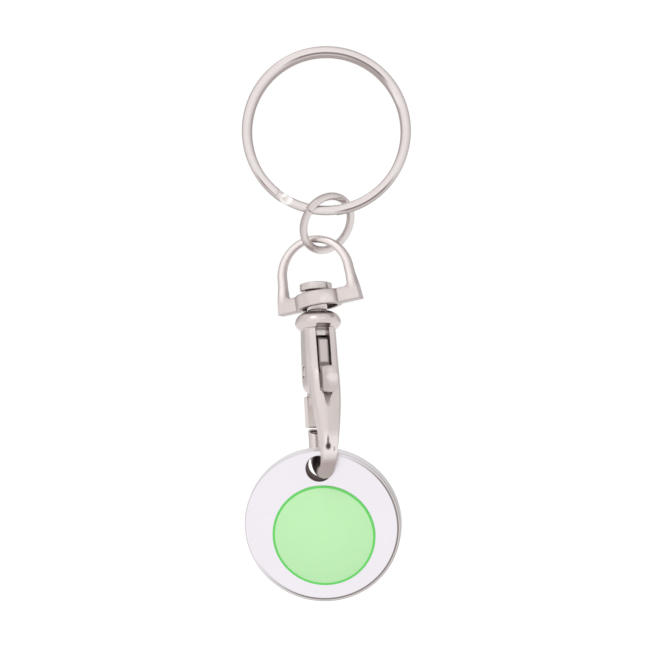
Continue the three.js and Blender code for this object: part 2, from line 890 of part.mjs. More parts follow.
const turn = radians(hookTurn);
const bendDrop = Math.max(...legShares.map(([, drop]) => drop)) * hookLength;
const coinGroup = new THREE.Group();
coinGroup.position.set(
  -coinBack * Math.sin(turn) - coinShift,
  coinBack * Math.cos(turn),
  collarTop - bendDrop + coinLift
);
coinGroup.rotation.set(radians(coinLean), radians(coinRoll), radians(coinTurn), "XZY");
coinGroup.add(part("trolley_coin", trolleyCoin(), metal(0xeeecf2, 0.25)));
const green = new THREE.MeshStandardMaterial({ color: 0xc1f0b7, roughness: 0.45, metalness: 0 });
coinGroup.add(part("print_disc", printDisc(), green));
swivelGroup.add(coinGroup);

export default keyring;
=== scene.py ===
"""A trolley coin keyring that hangs by its split ring: plated metal, a round token and its green print."""

import json
import math

import bmesh
import bpy
from mathutils import Matrix, Vector


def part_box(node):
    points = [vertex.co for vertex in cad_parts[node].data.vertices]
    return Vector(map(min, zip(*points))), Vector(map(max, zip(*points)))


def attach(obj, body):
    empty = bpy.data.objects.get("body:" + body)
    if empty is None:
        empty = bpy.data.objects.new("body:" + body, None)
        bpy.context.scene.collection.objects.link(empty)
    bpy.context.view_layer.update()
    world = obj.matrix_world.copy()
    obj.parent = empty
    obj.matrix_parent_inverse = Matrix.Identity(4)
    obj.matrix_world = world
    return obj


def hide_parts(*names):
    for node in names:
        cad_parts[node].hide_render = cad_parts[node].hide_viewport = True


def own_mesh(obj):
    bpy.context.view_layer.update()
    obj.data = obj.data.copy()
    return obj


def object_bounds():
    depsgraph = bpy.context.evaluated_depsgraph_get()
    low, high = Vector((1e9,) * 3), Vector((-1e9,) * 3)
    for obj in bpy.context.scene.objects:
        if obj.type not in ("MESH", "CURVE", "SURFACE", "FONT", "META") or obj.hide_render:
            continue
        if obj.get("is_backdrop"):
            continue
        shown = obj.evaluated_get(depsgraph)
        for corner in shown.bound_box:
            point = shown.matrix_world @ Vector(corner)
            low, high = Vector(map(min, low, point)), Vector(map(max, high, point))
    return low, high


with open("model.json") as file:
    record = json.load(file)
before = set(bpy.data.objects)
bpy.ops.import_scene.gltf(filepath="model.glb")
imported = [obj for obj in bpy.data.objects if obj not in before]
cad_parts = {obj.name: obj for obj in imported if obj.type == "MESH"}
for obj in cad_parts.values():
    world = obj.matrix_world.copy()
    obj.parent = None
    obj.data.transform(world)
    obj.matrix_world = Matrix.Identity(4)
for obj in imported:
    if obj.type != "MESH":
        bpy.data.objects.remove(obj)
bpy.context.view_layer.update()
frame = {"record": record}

MM = 0.001
Y, Z = 1, 2
SIDEWAYS = Vector((1, 0, 0))
FORWARD = Vector((0, 1, 0))

# Sizes in millimetres and angles in degrees. They are the solids' own, apart from the rivet's foot
# and lip, the groove's depth and the taper of the token's hole, which show the photograph better.
CUT_OVERRUN = 3

# Split ring
RING_DIAMETER = 25
RING_WIRE_WIDTH = 1.4
RING_WIRE_THICKNESS = 0.62
RING_WIRE_POWER = 2.5
RING_COIL_GAP = 0.42
RING_COIL_DROP = 0.22
RING_COIL_TUCK = 0.12
RING_START_ANGLE = 38
RING_JOGGLE_START = 385
RING_JOGGLE_END = 396
RING_END_ANGLE = 713
RING_RADIUS = RING_DIAMETER / 2 - RING_WIRE_WIDTH / 2
RING_CENTRE = RING_COIL_DROP + RING_COIL_TUCK + RING_WIRE_WIDTH - RING_DIAMETER / 2

# Jump ring
JUMP_DIAMETER = 9.56
JUMP_WIRE = 1.15
JUMP_LEAN = 23.85
JUMP_TURN = 33.5
JUMP_CUT_ANGLE = 139
JUMP_CUT_WIDTH = 0.16
JUMP_CUT_STEP = 0.14
JUMP_RADIUS = (JUMP_DIAMETER - JUMP_WIRE) / 2

# Swivel bail
BAIL_RADIUS = 5.33
BAIL_WIRE_WIDTH = 1.42
BAIL_WIRE_DEPTH = 1.3
BAIL_WIRE_POWER = 2.6
BAIL_CROWN_WIDTH = 1.08
BAIL_FOOT_DEPTH = 1.75
BAIL_FILLET = 0.6
BAIL_LEG = 3.85
BAIL_FLARE = 0.4
BAIL_BASE_HEIGHT = 2.2
BAIL_BASE_DEPTH = 1.9
BAIL_BOSS = 6.9
BAIL_BOSS_SHIFT = 0.15
BAIL_HOLE = 4.2
BAIL_RECESS = 5.2
BAIL_RECESS_DEPTH = 0.55
BAIL_EDGE = 0.16
BAIL_ROLL = 9.2
BAIL_TILT = 9.2
BAIL_TURN = 20
BASE_TOP = -BAIL_LEG + BAIL_BASE_HEIGHT / 2
BASE_BOTTOM = -BAIL_LEG - BAIL_BASE_HEIGHT / 2

# Swivel rivet
RIVET_HEAD = 4.75
RIVET_HEAD_HEIGHT = 1.32
RIVET_HEAD_EDGE = 0.36
RIVET_HEAD_LIFT = 0.36
RIVET_NECK = 3
RIVET_TAIL = 2.4
RIVET_TAIL_REACH = 3.4
RIVET_FOOT = 3.7
RIVET_FOOT_RISE = 0.3
RIVET_LIP = 0.4
RIVET_SHIFT = 0.35
COLLAR_LIFT = 0.6

# Hook body
COLLAR = 6.8
COLLAR_HEIGHT = 2.6
HOUSING_WIDTH = 5.1
HOUSING_DEPTH = 5.6
HOUSING_LENGTH = 12.2
HOUSING_POWER = 2.8
HOUSING_FRONT_SHARE = 0.45
HOOK_REACH = 6.7
HOOK_LENGTH = 24.6
LEG_POWER = 2.2
SLOT_WIDTH = 2.08
SLOT_TOP = 2.15
SLOT_BOTTOM = 12.1
BACK_WALL = 0.75
BACK_WALL_LENGTH = 4.4
GROOVE_LENGTH = 2.5
GROOVE_DEPTH = 0.5
GROOVE_SIDE = 0.35
TIP_DROP_SHARE = 0.6972
TIP_SLOPE = 29.4
TIP_SOCKET = 1.5
TIP_SOCKET_DEPTH = 0.5
TAIL_CLEARANCE = 0.05

HALF_WIDTH = HOUSING_WIDTH / 2
FRONT = -HOUSING_DEPTH * HOUSING_FRONT_SHARE
BACK = HOUSING_DEPTH + FRONT

# Drop, half width, front and back, as shares of the housing's own.
HOUSING_SHARES = (
    (0.14, 0.93, 0.84, 0.8), (0.24, 0.97, 0.88, 0.86), (0.4, 0.99, 0.93, 0.94), (0.6, 1, 0.98, 1),
    (0.78, 1.02, 1.03, 1), (0.88, 1.02, 1.06, 0.93), (0.95, 0.97, 1.06, 0.72), (1, 0.84, 1, 0.36),
)

# Reach and drop as shares of the hook's own, half width and half depth as shares of the housing's.
LEG_SHARES = (
    (-0.1, 0.3, 0.86, 0.58), (-0.21, 0.45, 0.92, 0.6), (-0.285, 0.58, 0.84, 0.55),
    (-0.315, 0.7, 0.7, 0.5), (-0.305, 0.793, 0.58, 0.44), (-0.23, 0.89, 0.47, 0.38),
    (-0.015, 0.96, 0.42, 0.36), (0.27, 0.953, 0.44, 0.38), (0.52, 0.905, 0.45, 0.39),
    (0.672, 0.825, 0.43, 0.375), (0.7, 0.76, 0.41, 0.37), (0.7, 0.66, 0.41, 0.37),
)
TIP_REACH = LEG_SHARES[-1][0] * HOOK_REACH
TIP_DROP = TIP_DROP_SHARE * HOOK_LENGTH

# Radius and drop, as shares of the collar's own.
COLLAR_SHARES = (
    (0, 0), (0.52, 0), (0.72, 0.08), (0.87, 0.23), (0.97, 0.44), (1, 0.62), (0.97, 0.78), (0.88, 0.91),
    (0.76, 1), (0, 1),
)

# Gate lever, on its pin
PIN = 1.4
PIN_BACK = 0.5
PIN_DROP = 8.9
PIN_BORE = 1.7
LEVER_WIDTH = 1.6
HUB = 3
ARM_HEIGHT = 4.85
ARM_THICKNESS = 1.25
ARM_FORWARD = 2.6
KNOB_SIZE = (2.8, 1.35, 4.1)
KNOB_ROUNDNESS = 0.72
KNOB_FORWARD = 3.75
KNOB_DROP = 1.7
KNOB_WEB = 2.5
GATE_WIDTH = 2.7
GATE_THICKNESS = 1.4
GATE_EDGE = 0.25
GATE_TOP_GAP = -0.2
GATE_END_GAP = 0.26
GATE_SWING_GAP = 0.2

# Gate spring
SPRING = 1.5
SPRING_WIRE = 0.26
SPRING_PITCH = 0.7
SPRING_RISE = 3.75
SPRING_CLEARANCE = 0.16

# Token and print
TOKEN_DIAMETER = 23.25
TOKEN_THICKNESS = 2.1
TOKEN_EDGE = 0.16
TOKEN_HOLE = 3.9
TOKEN_HOLE_EDGE = 0.12
TOKEN_HOLE_TAPER = 0.13
PRINT_DIAMETER = 15.3
PRINT_THICKNESS = 0.12
PRINT_CLEARANCE = 0.05
PRINT_RIM_GAP = 2.58
PRINT_SIDE = 0.13
PRINT_LINE = 0.34
PRINT_OVERLAP = 0.02
PRINT_EDGE = 0.03


def joint(name):
    """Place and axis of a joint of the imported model."""
    found = [j for j in frame["record"]["behaviour"]["joints"] if j["name"] == name][0]
    return Vector(found["pos_m"]), Vector(found["axis"]).normalized()


def placed(origin, x_axis, y_axis, z_axis):
    """A placing matrix, in metres, for a shape drawn in millimetres."""
    turned = Matrix((x_axis, y_axis, z_axis)).transposed().to_4x4()
    return Matrix.Translation(origin) @ turned @ Matrix.Scale(MM, 4)


def turn(degrees, axis):
    return Matrix.Rotation(math.radians(degrees), 4, axis)


# Where each part's own drawing sits in the frame.
RING = Matrix.Scale(MM, 4)

swivel_point, hook_up = joint("hook_swivel")
_, pin_axis = joint("gate_open")
HOOK = placed(swivel_point, -pin_axis, hook_up.cross(-pin_axis), hook_up)
rivet_point = swivel_point + hook_up * (BAIL_BASE_HEIGHT / 2 + COLLAR_LIFT) * MM
RIVET = placed(rivet_point, -pin_axis, hook_up.cross(-pin_axis), hook_up)

bail_turn = turn(-BAIL_ROLL, "Y") @ turn(-BAIL_TILT, "X") @ turn(-BAIL_TURN, "Z")
bail_to_rivet = bail_turn @ Vector((-BAIL_BOSS_SHIFT - RIVET_SHIFT, 0, -BAIL_LEG))
BAIL = Matrix.Translation(rivet_point - bail_to_rivet * MM) @ bail_turn @ Matrix.Scale(MM, 4)

jump_low, jump_high = (Vector(corner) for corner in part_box("jump_ring"))
jump_turn = turn(JUMP_LEAN, "X") @ turn(JUMP_TURN, "Z")
JUMP = Matrix.Translation((jump_low + jump_high) / 2) @ jump_turn @ Matrix.Scale(MM, 4)

hole_point, token_back = joint("token_swing")
token_low, token_high = (Vector(corner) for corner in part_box("trolley_coin"))
token_centre = (token_low + token_high) / 2
token_up = (hole_point - token_centre).normalized()
TOKEN = placed(token_centre, token_back.cross(token_up), token_back, token_up)
HOLE_RISE = (hole_point - token_centre).length / MM


# Shapes

def smoothstep(value, low, high):
    share = min(max((value - low) / (high - low), 0), 1)
    return share * share * (3 - 2 * share)


def curve_point(points, place):
    """A point on a smooth curve through evenly counted points."""
    row = min(int(place), len(points) - 2)
    t = place - row
    before = points[max(row - 1, 0)]
    start, end = points[row], points[row + 1]
    after = points[min(row + 2, len(points) - 1)]
    found = []
    for a, b, c, d in zip(before, start, end, after):
        bend = (2 * a - 5 * b + 4 * c - d) * t + (3 * b - a - 3 * c + d) * t * t
        found.append(b + 0.5 * t * ((c - a) + bend))
    return found


def spoke(angle):
    """The direction at an angle, in the front view of a drawing."""
    return Vector((math.cos(angle), 0, math.sin(angle)))


def oval(half_width, half_depth, power, sides):
    """Outline of an oval whose sides flatten as the power rises."""
    points = []
    for side in range(sides):
        angle = 2 * math.pi * side / sides
        across, up = math.cos(angle), math.sin(angle)
        points.append((
            half_width * math.copysign(abs(across) ** (2 / power), across),
            half_depth * math.copysign(abs(up) ** (2 / power), up),
        ))
    return points


def ring_of_points(outline, centre, across, up, scale=1):
    return [centre + across * (u * scale) + up * (v * scale) for u, v in outline]


def skin(rings, closed=False):
    """A closed mesh over rings of points, with flat ends unless the rings close on themselves."""
    mesh = bmesh.new()
    rows = [[mesh.verts.new(point) for point in ring] for ring in rings]
    sides = len(rows[0])
    following = rows[1:] + rows[:1] if closed else rows[1:]
    for low, high in zip(rows, following):
        for side in range(sides):
            after = (side + 1) % sides
            mesh.faces.new((low[side], low[after], high[after], high[side]))
    if not closed:
        mesh.faces.new(reversed(rows[0]))
        mesh.faces.new(rows[-1])
    bmesh.ops.recalc_face_normals(mesh, faces=mesh.faces)
    return mesh


def lathe(profile, steps=96):
    """Turns a profile of (radius, height) about Z. It starts and ends on the axis."""
    mesh = bmesh.new()
    rows = []
    for radius, height in profile:
        if radius == 0:
            rows.append([mesh.verts.new((0, 0, height))])
            continue
        angles = [2 * math.pi * step / steps for step in range(steps)]
        rows.append([mesh.verts.new((radius * math.cos(a), radius * math.sin(a), height)) for a in angles])
    for low, high in zip(rows, rows[1:]):
        for step in range(steps):
            after = (step + 1) % steps
            corners = [low[step % len(low)], low[after % len(low)]]
            corners += [high[after % len(high)], high[step % len(high)]]
            unique = list(dict.fromkeys(corners))
            if len(unique) > 2:
                mesh.faces.new(unique)
    bmesh.ops.recalc_face_normals(mesh, faces=mesh.faces)
    return mesh


def plate(points, width):
    """A side view outline in (y, z), given a width along X."""
    half = width / 2
    return skin([[Vector((x, y, z)) for y, z in points] for x in (-half, half)])


def cylinder(radius, low, high, steps=64):
    return lathe([(0, low), (radius, low), (radius, high), (0, high)], steps)


def moved(mesh, matrix):
    mesh.transform(matrix)
    return mesh


# Objects

def as_object(name, mesh, place=None):
    data = bpy.data.meshes.new(name)
    if place is not None:
        mesh.transform(place)
    mesh.to_mesh(data)
    mesh.free()
    made = bpy.data.objects.new(name, data)
    bpy.context.scene.collection.objects.link(made)
    return made


def applied(made):
    """The object with its modifiers worked into its mesh."""
    bpy.context.view_layer.update()
    evaluated = made.evaluated_get(bpy.context.evaluated_depsgraph_get())
    data = bpy.data.meshes.new_from_object(evaluated)
    made.modifiers.clear()
    made.data = data
    return made


def cast(name, solids, cuts, place, grain, rounds):
    """A casting: its solids joined, its hollows cut, and every edge softened as a mould leaves it."""
    body = as_object(name, solids[0])
    for operation, meshes in (("UNION", solids[1:]), ("DIFFERENCE", cuts)):
        for mesh in meshes:
            tool = as_object(name + "_tool", mesh)
            join = body.modifiers.new("join", "BOOLEAN")
            join.operation = operation
            join.solver = "MANIFOLD"
            join.object = tool
            applied(body)
            bpy.data.objects.remove(tool)
    remesh = body.modifiers.new("grain", "REMESH")
    remesh.mode = "VOXEL"
    remesh.voxel_size = grain
    soften = body.modifiers.new("soften", "CORRECTIVE_SMOOTH")
    soften.iterations = rounds
    soften.use_only_smooth = True
    soften.factor = 0.5
    applied(body)
    body.data.transform(place)
    return body


def finished(made, material, body, nodes, flat_angle=None):
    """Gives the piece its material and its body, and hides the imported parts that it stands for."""
    made.data.materials.clear()
    made.data.materials.append(material)
    made.data.shade_smooth()
    if flat_angle:
        made.data.set_sharp_from_angle(angle=math.radians(flat_angle))
    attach(made, body)
    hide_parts(*nodes)
    return made


# Shader values and groups

def feed(node, inputs):
    """Links results to a node's inputs, or sets numbers and colours there."""
    for key, value in inputs.items():
        socket = node.inputs[key]
        if isinstance(value, Field):
            value = value.socket
        if isinstance(value, bpy.types.NodeSocket):
            node.id_data.links.new(value, socket)
        elif socket.type == "RGBA":
            socket.default_value = (*value, 1)
        else:
            socket.default_value = value


def new_node(tree, kind, inputs, **settings):
    """A new node, with its settings made before its inputs are linked or set."""
    node = tree.nodes.new(kind)
    for label, value in settings.items():
        setattr(node, label, value)
    feed(node, inputs)
    return node


def object_place(tree):
    """The place on the object, in its own coordinates."""
    return tree.nodes.new("ShaderNodeTexCoord").outputs["Object"]


class Field:
    """A value that changes over a surface. A sum with it adds the nodes for that sum to its tree."""

    def __init__(self, socket):
        self.socket = socket
        self.tree = socket.id_data

    def worked(self, operation, other=0):
        node = new_node(self.tree, "ShaderNodeMath", {0: self, 1: other}, operation=operation)
        return Field(node.outputs[0])

    def __add__(self, other):
        return self.worked("ADD", other)

    def __sub__(self, other):
        return self.worked("SUBTRACT", other)

    def __mul__(self, other):
        return self.worked("MULTIPLY", other)

    def __truediv__(self, other):
        return self.worked("DIVIDE", other)

    def __abs__(self):
        return self.worked("ABSOLUTE")

    def __or__(self, other):
        """The larger of two values: where either of two shares holds."""
        return self.worked("MAXIMUM", other)

    def spread(self, low, high, to_low=0.0, to_high=1.0):
        """The value's way from low to high, as a share or between two other values."""
        inputs = {"Value": self, "From Min": low, "From Max": high, "To Min": to_low, "To Max": to_high}
        return Field(new_node(self.tree, "ShaderNodeMapRange", inputs).outputs["Result"])

    def below(self, low, high, strength=1.0):
        """A share that is whole where the value is under low, and gone where it is over high."""
        return self.spread(low, high, strength, 0.0)

    def mixed(self, first, second):
        """The first value or colour where the share is nothing, and the second where it is whole."""
        data_type = "RGBA" if isinstance(second, tuple) else "FLOAT"
        node = new_node(self.tree, "ShaderNodeMix", {}, data_type=data_type)
        keys = [key for key, socket in enumerate(node.inputs) if socket.enabled]
        feed(node, dict(zip(keys, (self, first, second))))
        return Field([socket for socket in node.outputs if socket.enabled][0])


def distance(vector, point):
    node = new_node(vector.id_data, "ShaderNodeVectorMath", {0: vector, 1: point}, operation="DISTANCE")
    return Field(node.outputs["Value"])


class Place:
    """The coordinates of a part's own drawing, in millimetres."""

    def __init__(self, tree, drawing):
        self.tree = tree
        inputs = {
            "Vector": object_place(tree), "Location": drawing.translation,
            "Rotation": drawing.to_euler(), "Scale": (MM, MM, MM),
        }
        self.vector = new_node(tree, "ShaderNodeMapping", inputs, vector_type="TEXTURE").outputs["Vector"]
        axes = new_node(tree, "ShaderNodeSeparateXYZ", {"Vector": self.vector})
        self.x, self.y, self.z = (Field(axes.outputs[label]) for label in "XYZ")

    def from_point(self, point):
        return distance(self.vector, point)

    def from_line(self, point, axis=Y):
        """How far a place is from the line through a point along one of the drawing's axes."""
        keep = [0 if left_out == axis else 1 for left_out in range(3)]
        inputs = {0: self.vector, 1: keep}
        level = new_node(self.tree, "ShaderNodeVectorMath", inputs, operation="MULTIPLY")
        return distance(level.outputs["Vector"], [value * share for value, share in zip(point, keep)])


def blot(middle, half_size, strength, front):
    """A small round mark on the front of a part: its middle and half size are across and upward."""
    core, border, depth = 0.2, 1.1, 0.3

    def where(place):
        across = (place.x - middle[0]) / half_size[0]
        upward = (place.z - middle[1]) / half_size[1]
        near = (across * across + upward * upward).below(core, border, strength)
        return near * place.y.spread(front, front - depth)
    return where


def noise(vector, scale, detail, roughness=0.5):
    inputs = {"Vector": vector, "Scale": scale, "Detail": detail, "Roughness": roughness}
    return Field(new_node(vector.id_data, "ShaderNodeTexNoise", inputs).outputs["Fac"])


def new_group(name, inputs, outputs):
    group = bpy.data.node_groups.new(name, "ShaderNodeTree")
    for label, value in inputs.items():
        socket = group.interface.new_socket(label, in_out="INPUT", socket_type="NodeSocketFloat")
        socket.default_value = value
    for label in outputs:
        group.interface.new_socket(label, in_out="OUTPUT", socket_type="NodeSocketFloat")
    return group, group.nodes.new("NodeGroupInput"), group.nodes.new("NodeGroupOutput")


def plating_group():
    """Plated metal: soft clouds in the shine, hairline rub marks and painted shade in the hollows."""
    group, start, end = new_group(
        "plating", {"Cloud Scale": 220.0, "Rub Scale": 1800.0}, ["Cloud", "Rub", "Hollow", "Height"],
    )
    place = object_place(group)
    cloud = noise(place, start.outputs["Cloud Scale"], detail=3.0)
    stretch = new_node(group, "ShaderNodeMapping", {
        "Vector": place, "Rotation": (0.5, 0.2, 0.7), "Scale": (1.0, 1.0, 0.12),
    })
    rub = noise(stretch.outputs["Vector"], start.outputs["Rub Scale"], detail=4.0, roughness=0.7)
    pointiness = Field(group.nodes.new("ShaderNodeNewGeometry").outputs["Pointiness"])
    rub_height = 0.15
    feed(end, {
        "Cloud": cloud.spread(0.3, 0.7),
        "Rub": rub.spread(0.52, 0.72),
        # Painted shade in the creases and hollows, found from the mesh's pointiness.
        "Hollow": pointiness.below(0.42, 0.5),
        "Height": cloud + rub * rub_height,
    })
    return group


# Materials

PLATING = plating_group()
CLOUD_SHADE = 0.45
# Share of the dull tone painted as shade in the hollows.
HOLLOW_SHADE = 0.9
RUB_DULLNESS = 0.35
CLOUD_DULLNESS = 0.5
METAL_RELIEF = 0.00004
PRINT_RELIEF = 0.00003

# Bright and dull tone of each metal, and the two tones of each green.
WIRE_TONES = ((0.7, 0.645, 0.635), (0.62, 0.565, 0.555))
CAST_TONES = ((0.66, 0.595, 0.575), (0.56, 0.5, 0.485))
TURNED_TONES = ((0.66, 0.605, 0.59), (0.54, 0.49, 0.475))
SPRING_TONES = ((0.55, 0.52, 0.5), (0.36, 0.33, 0.32))
TOKEN_TONES = ((0.835, 0.8, 0.85), (0.8, 0.77, 0.815))
PALE_GREEN = ((0.54, 0.91, 0.475), (0.545, 0.915, 0.485))
DEEP_GREEN = ((0.12, 0.68, 0.115), (0.13, 0.7, 0.12))

# Grain of each metal: scale of the clouds, scale of the rub marks, strength of the relief.
WIRE_GRAIN = (260, 2600, 0.2)
CAST_GRAIN = (300, 1500, 0.35)
TURNED_GRAIN = (420, 2400, 0.3)
SPRING_GRAIN = (500, 3000, 0.3)
TOKEN_GRAIN = (90, 900, 0.04)

# Tones of the marks, from the palest to the darkest: mostly painted highlights, painted shade and painted
# reflections.
# Painted highlight on the token's side.
TOKEN_SIDE_HIGHLIGHT = (0.97, 0.95, 0.96)
# Painted highlight, for glints and bright spots.
HIGHLIGHT_TONE = (0.95, 0.92, 0.9)
# Painted highlight on the crest of the bail's bar.
BAIL_CREST_HIGHLIGHT = (0.86, 0.79, 0.77)
# Painted highlight on the knob.
KNOB_HIGHLIGHT = (0.84, 0.78, 0.77)
# Worn smooth by rubbing, and painted brighter as a highlight.
RUBBED_HIGHLIGHT = (0.82, 0.76, 0.75)
GATE_TONE = (0.8, 0.735, 0.715)
# Painted highlight on the crest of the ring's wire.
RING_CREST_HIGHLIGHT = (0.76, 0.7, 0.69)
# Painted shade on the token's rim.
TOKEN_RIM_SHADE = (0.7, 0.66, 0.66)
BEND_TONE = (0.58, 0.51, 0.5)
ARM_TONE = (0.57, 0.51, 0.495)
KNOB_SHADE = (0.52, 0.46, 0.445)
# Painted shade at the sides of the bail's bar.
BAIL_SIDE_SHADE = (0.5, 0.44, 0.43)
# Painted shade in the bail's corners, and a painted dark reflection on the leg.
CAST_SHADE = (0.4, 0.35, 0.335)
# Painted shade along the sides of the wires, also used inside the hook's slot.
SIDE_SHADE = (0.4, 0.345, 0.335)
HOLE_SHADE = (0.27, 0.205, 0.195)
# Dark painted shade lines along the token's rim.
TOKEN_SHADE_LINE = (0.24, 0.21, 0.2)
GAP_SHADE = (0.24, 0.2, 0.19)
# Deep painted shade in holes, recesses, the socket, the slot, on the knob's left flank and under the token,
# and a painted dark reflection on the leg.
DEEP_SHADE = (0.16, 0.135, 0.125)
# Painted dark reflection on the leg.
DARK_REFLECTION = (0.07, 0.055, 0.05)


def new_material(name):
    material = bpy.data.materials.new(name)
    material.use_nodes = True
    return material, material.node_tree, material.node_tree.nodes["Principled BSDF"]


def relief_normal(height, strength, depth):
    inputs = {"Strength": strength, "Distance": depth, "Height": height}
    return new_node(height.tree, "ShaderNodeBump", inputs).outputs["Normal"]


def plated(name, tones, grain, shine, drawing=None, marks=()):
    """A plated metal whose colour and roughness drift between two values over the surface.

    A mark is (where, tone, roughness): where gives its share from a place in the part's own drawing."""
    material, tree, surface = new_material(name)
    cloud_scale, rub_scale, relief = grain
    scales = {"Cloud Scale": cloud_scale, "Rub Scale": rub_scale}
    plating = new_node(tree, "ShaderNodeGroup", scales, node_tree=PLATING)
    labels = ("Cloud", "Rub", "Hollow", "Height")
    cloud, rub, hollow, height = (Field(plating.outputs[label]) for label in labels)
    # The dull tone comes in with the clouds, and as painted shade in the hollows.
    colour = (cloud * CLOUD_SHADE | hollow * HOLLOW_SHADE).mixed(*tones)
    roughness = (rub * RUB_DULLNESS + cloud * CLOUD_DULLNESS).spread(0.0, 1.0, *shine)
    place = Place(tree, drawing) if marks else None
    for where, tone, mark_roughness in marks:
        share = where(place)
        colour = share.mixed(colour, tone)
        roughness = share.mixed(roughness, mark_roughness)
    normal = relief_normal(height, relief, METAL_RELIEF)
    feed(surface, {"Metallic": 1.0, "Base Color": colour, "Roughness": roughness, "Normal": normal})
    return material


def printed(name, tones):
    """Pad printed enamel: even colour with a faint mottle and a soft gloss."""
    material, tree, surface = new_material(name)
    mottle = noise(object_place(tree), scale=700.0, detail=3.0)
    feed(surface, {
        "Base Color": mottle.spread(0.35, 0.7).mixed(*tones),
        "Roughness": mottle.spread(0.3, 0.7, 0.38, 0.5),
        "Coat Weight": 0.15,
        "Coat Roughness": 0.2,
        "Normal": relief_normal(mottle, 0.15, PRINT_RELIEF),
    })
    return material


def jump_nickel():
    """The jump ring's wire, with painted shade round its outer and inner sides."""
    # Painted shade where the round wire turns away at its sides.
    def sides(place):
        off_middle = abs(place.from_line((0, 0, 0)) - JUMP_RADIUS)
        return off_middle.spread(JUMP_WIRE * 0.25, JUMP_WIRE * 0.5, 0.0, 0.75)

    return plated("jump_nickel", WIRE_TONES, WIRE_GRAIN, (0.24, 0.36), JUMP, [(sides, SIDE_SHADE, 0.4)])


# Painted shadow lines of the gap between the coils, round the ring's front coil: radius, half width, start
# and end clockwise from the top, strength.
COIL_SHADOW_LINES = (
    (11.3, 0.3, 20, 52, 0.45), (11.5, 0.18, -28, 50, 1.0), (12.1, 0.17, 128, 172, 1.0),
    (12.15, 0.14, -139, -122, 0.9),
)
# A painted glint near the inner edge of the wire, in the same form.
COIL_GLINT = (11.35, 0.25, 61, 70, 0.8)


def ring_nickel():
    """The ring's wire: painted highlights on its crest, where it steps over and in a glint, painted shade at
    its sides, and painted shadow lines between its coils.
    """
    centre = (0, 0, RING_CENTRE)
    middle = math.radians((RING_JOGGLE_START + RING_JOGGLE_END) / 2)
    radius = RING_RADIUS - RING_COIL_TUCK / 2
    step_place = (-math.sin(middle) * radius, 0, RING_CENTRE - math.cos(middle) * radius)

    # Painted highlight along the crest of the wire.
    def crest(place):
        off_middle = abs(place.from_line(centre) - RING_RADIUS)
        return off_middle.below(RING_WIRE_WIDTH * 0.05, RING_WIRE_WIDTH * 0.2, 0.6)

    # Painted shade at the sides of the wire.
    def sides(place):
        off_middle = abs(place.from_line(centre) - RING_RADIUS)
        return off_middle.spread(RING_WIRE_WIDTH * 0.28, RING_WIRE_WIDTH * 0.5)

    # A painted shadow line along an arc of the front coil.
    def line(line_radius, half_width, start, end, strength):
        start_fade, end_fade, end_tail = 8, 6, 3

        def where(place):
            off_line = abs(place.from_line(centre) - line_radius)
            angle = place.x.worked("ARCTAN2", place.z - RING_CENTRE) * (180 / math.pi)
            along = angle.spread(start - start_fade, start + start_fade)
            along = along * angle.below(end - end_fade, end + end_tail)
            return off_line.below(half_width * 0.5, half_width, strength) * along * place.y.spread(0.0, -0.1)
        return where

    # Painted highlight where the wire steps over to the other coil.
    def step_over_highlight(place):
        return place.from_line(step_place).below(0.7, 1.05, 0.85)

    marks = [(crest, RING_CREST_HIGHLIGHT, 0.3), (sides, SIDE_SHADE, 0.4)]
    marks += [(line(*sizes), GAP_SHADE, 0.35) for sizes in COIL_SHADOW_LINES]
    marks += [(line(*COIL_GLINT), HIGHLIGHT_TONE, 0.3), (step_over_highlight, HIGHLIGHT_TONE, 0.3)]
    return plated("ring_nickel", WIRE_TONES, WIRE_GRAIN, (0.2, 0.34), RING, marks)


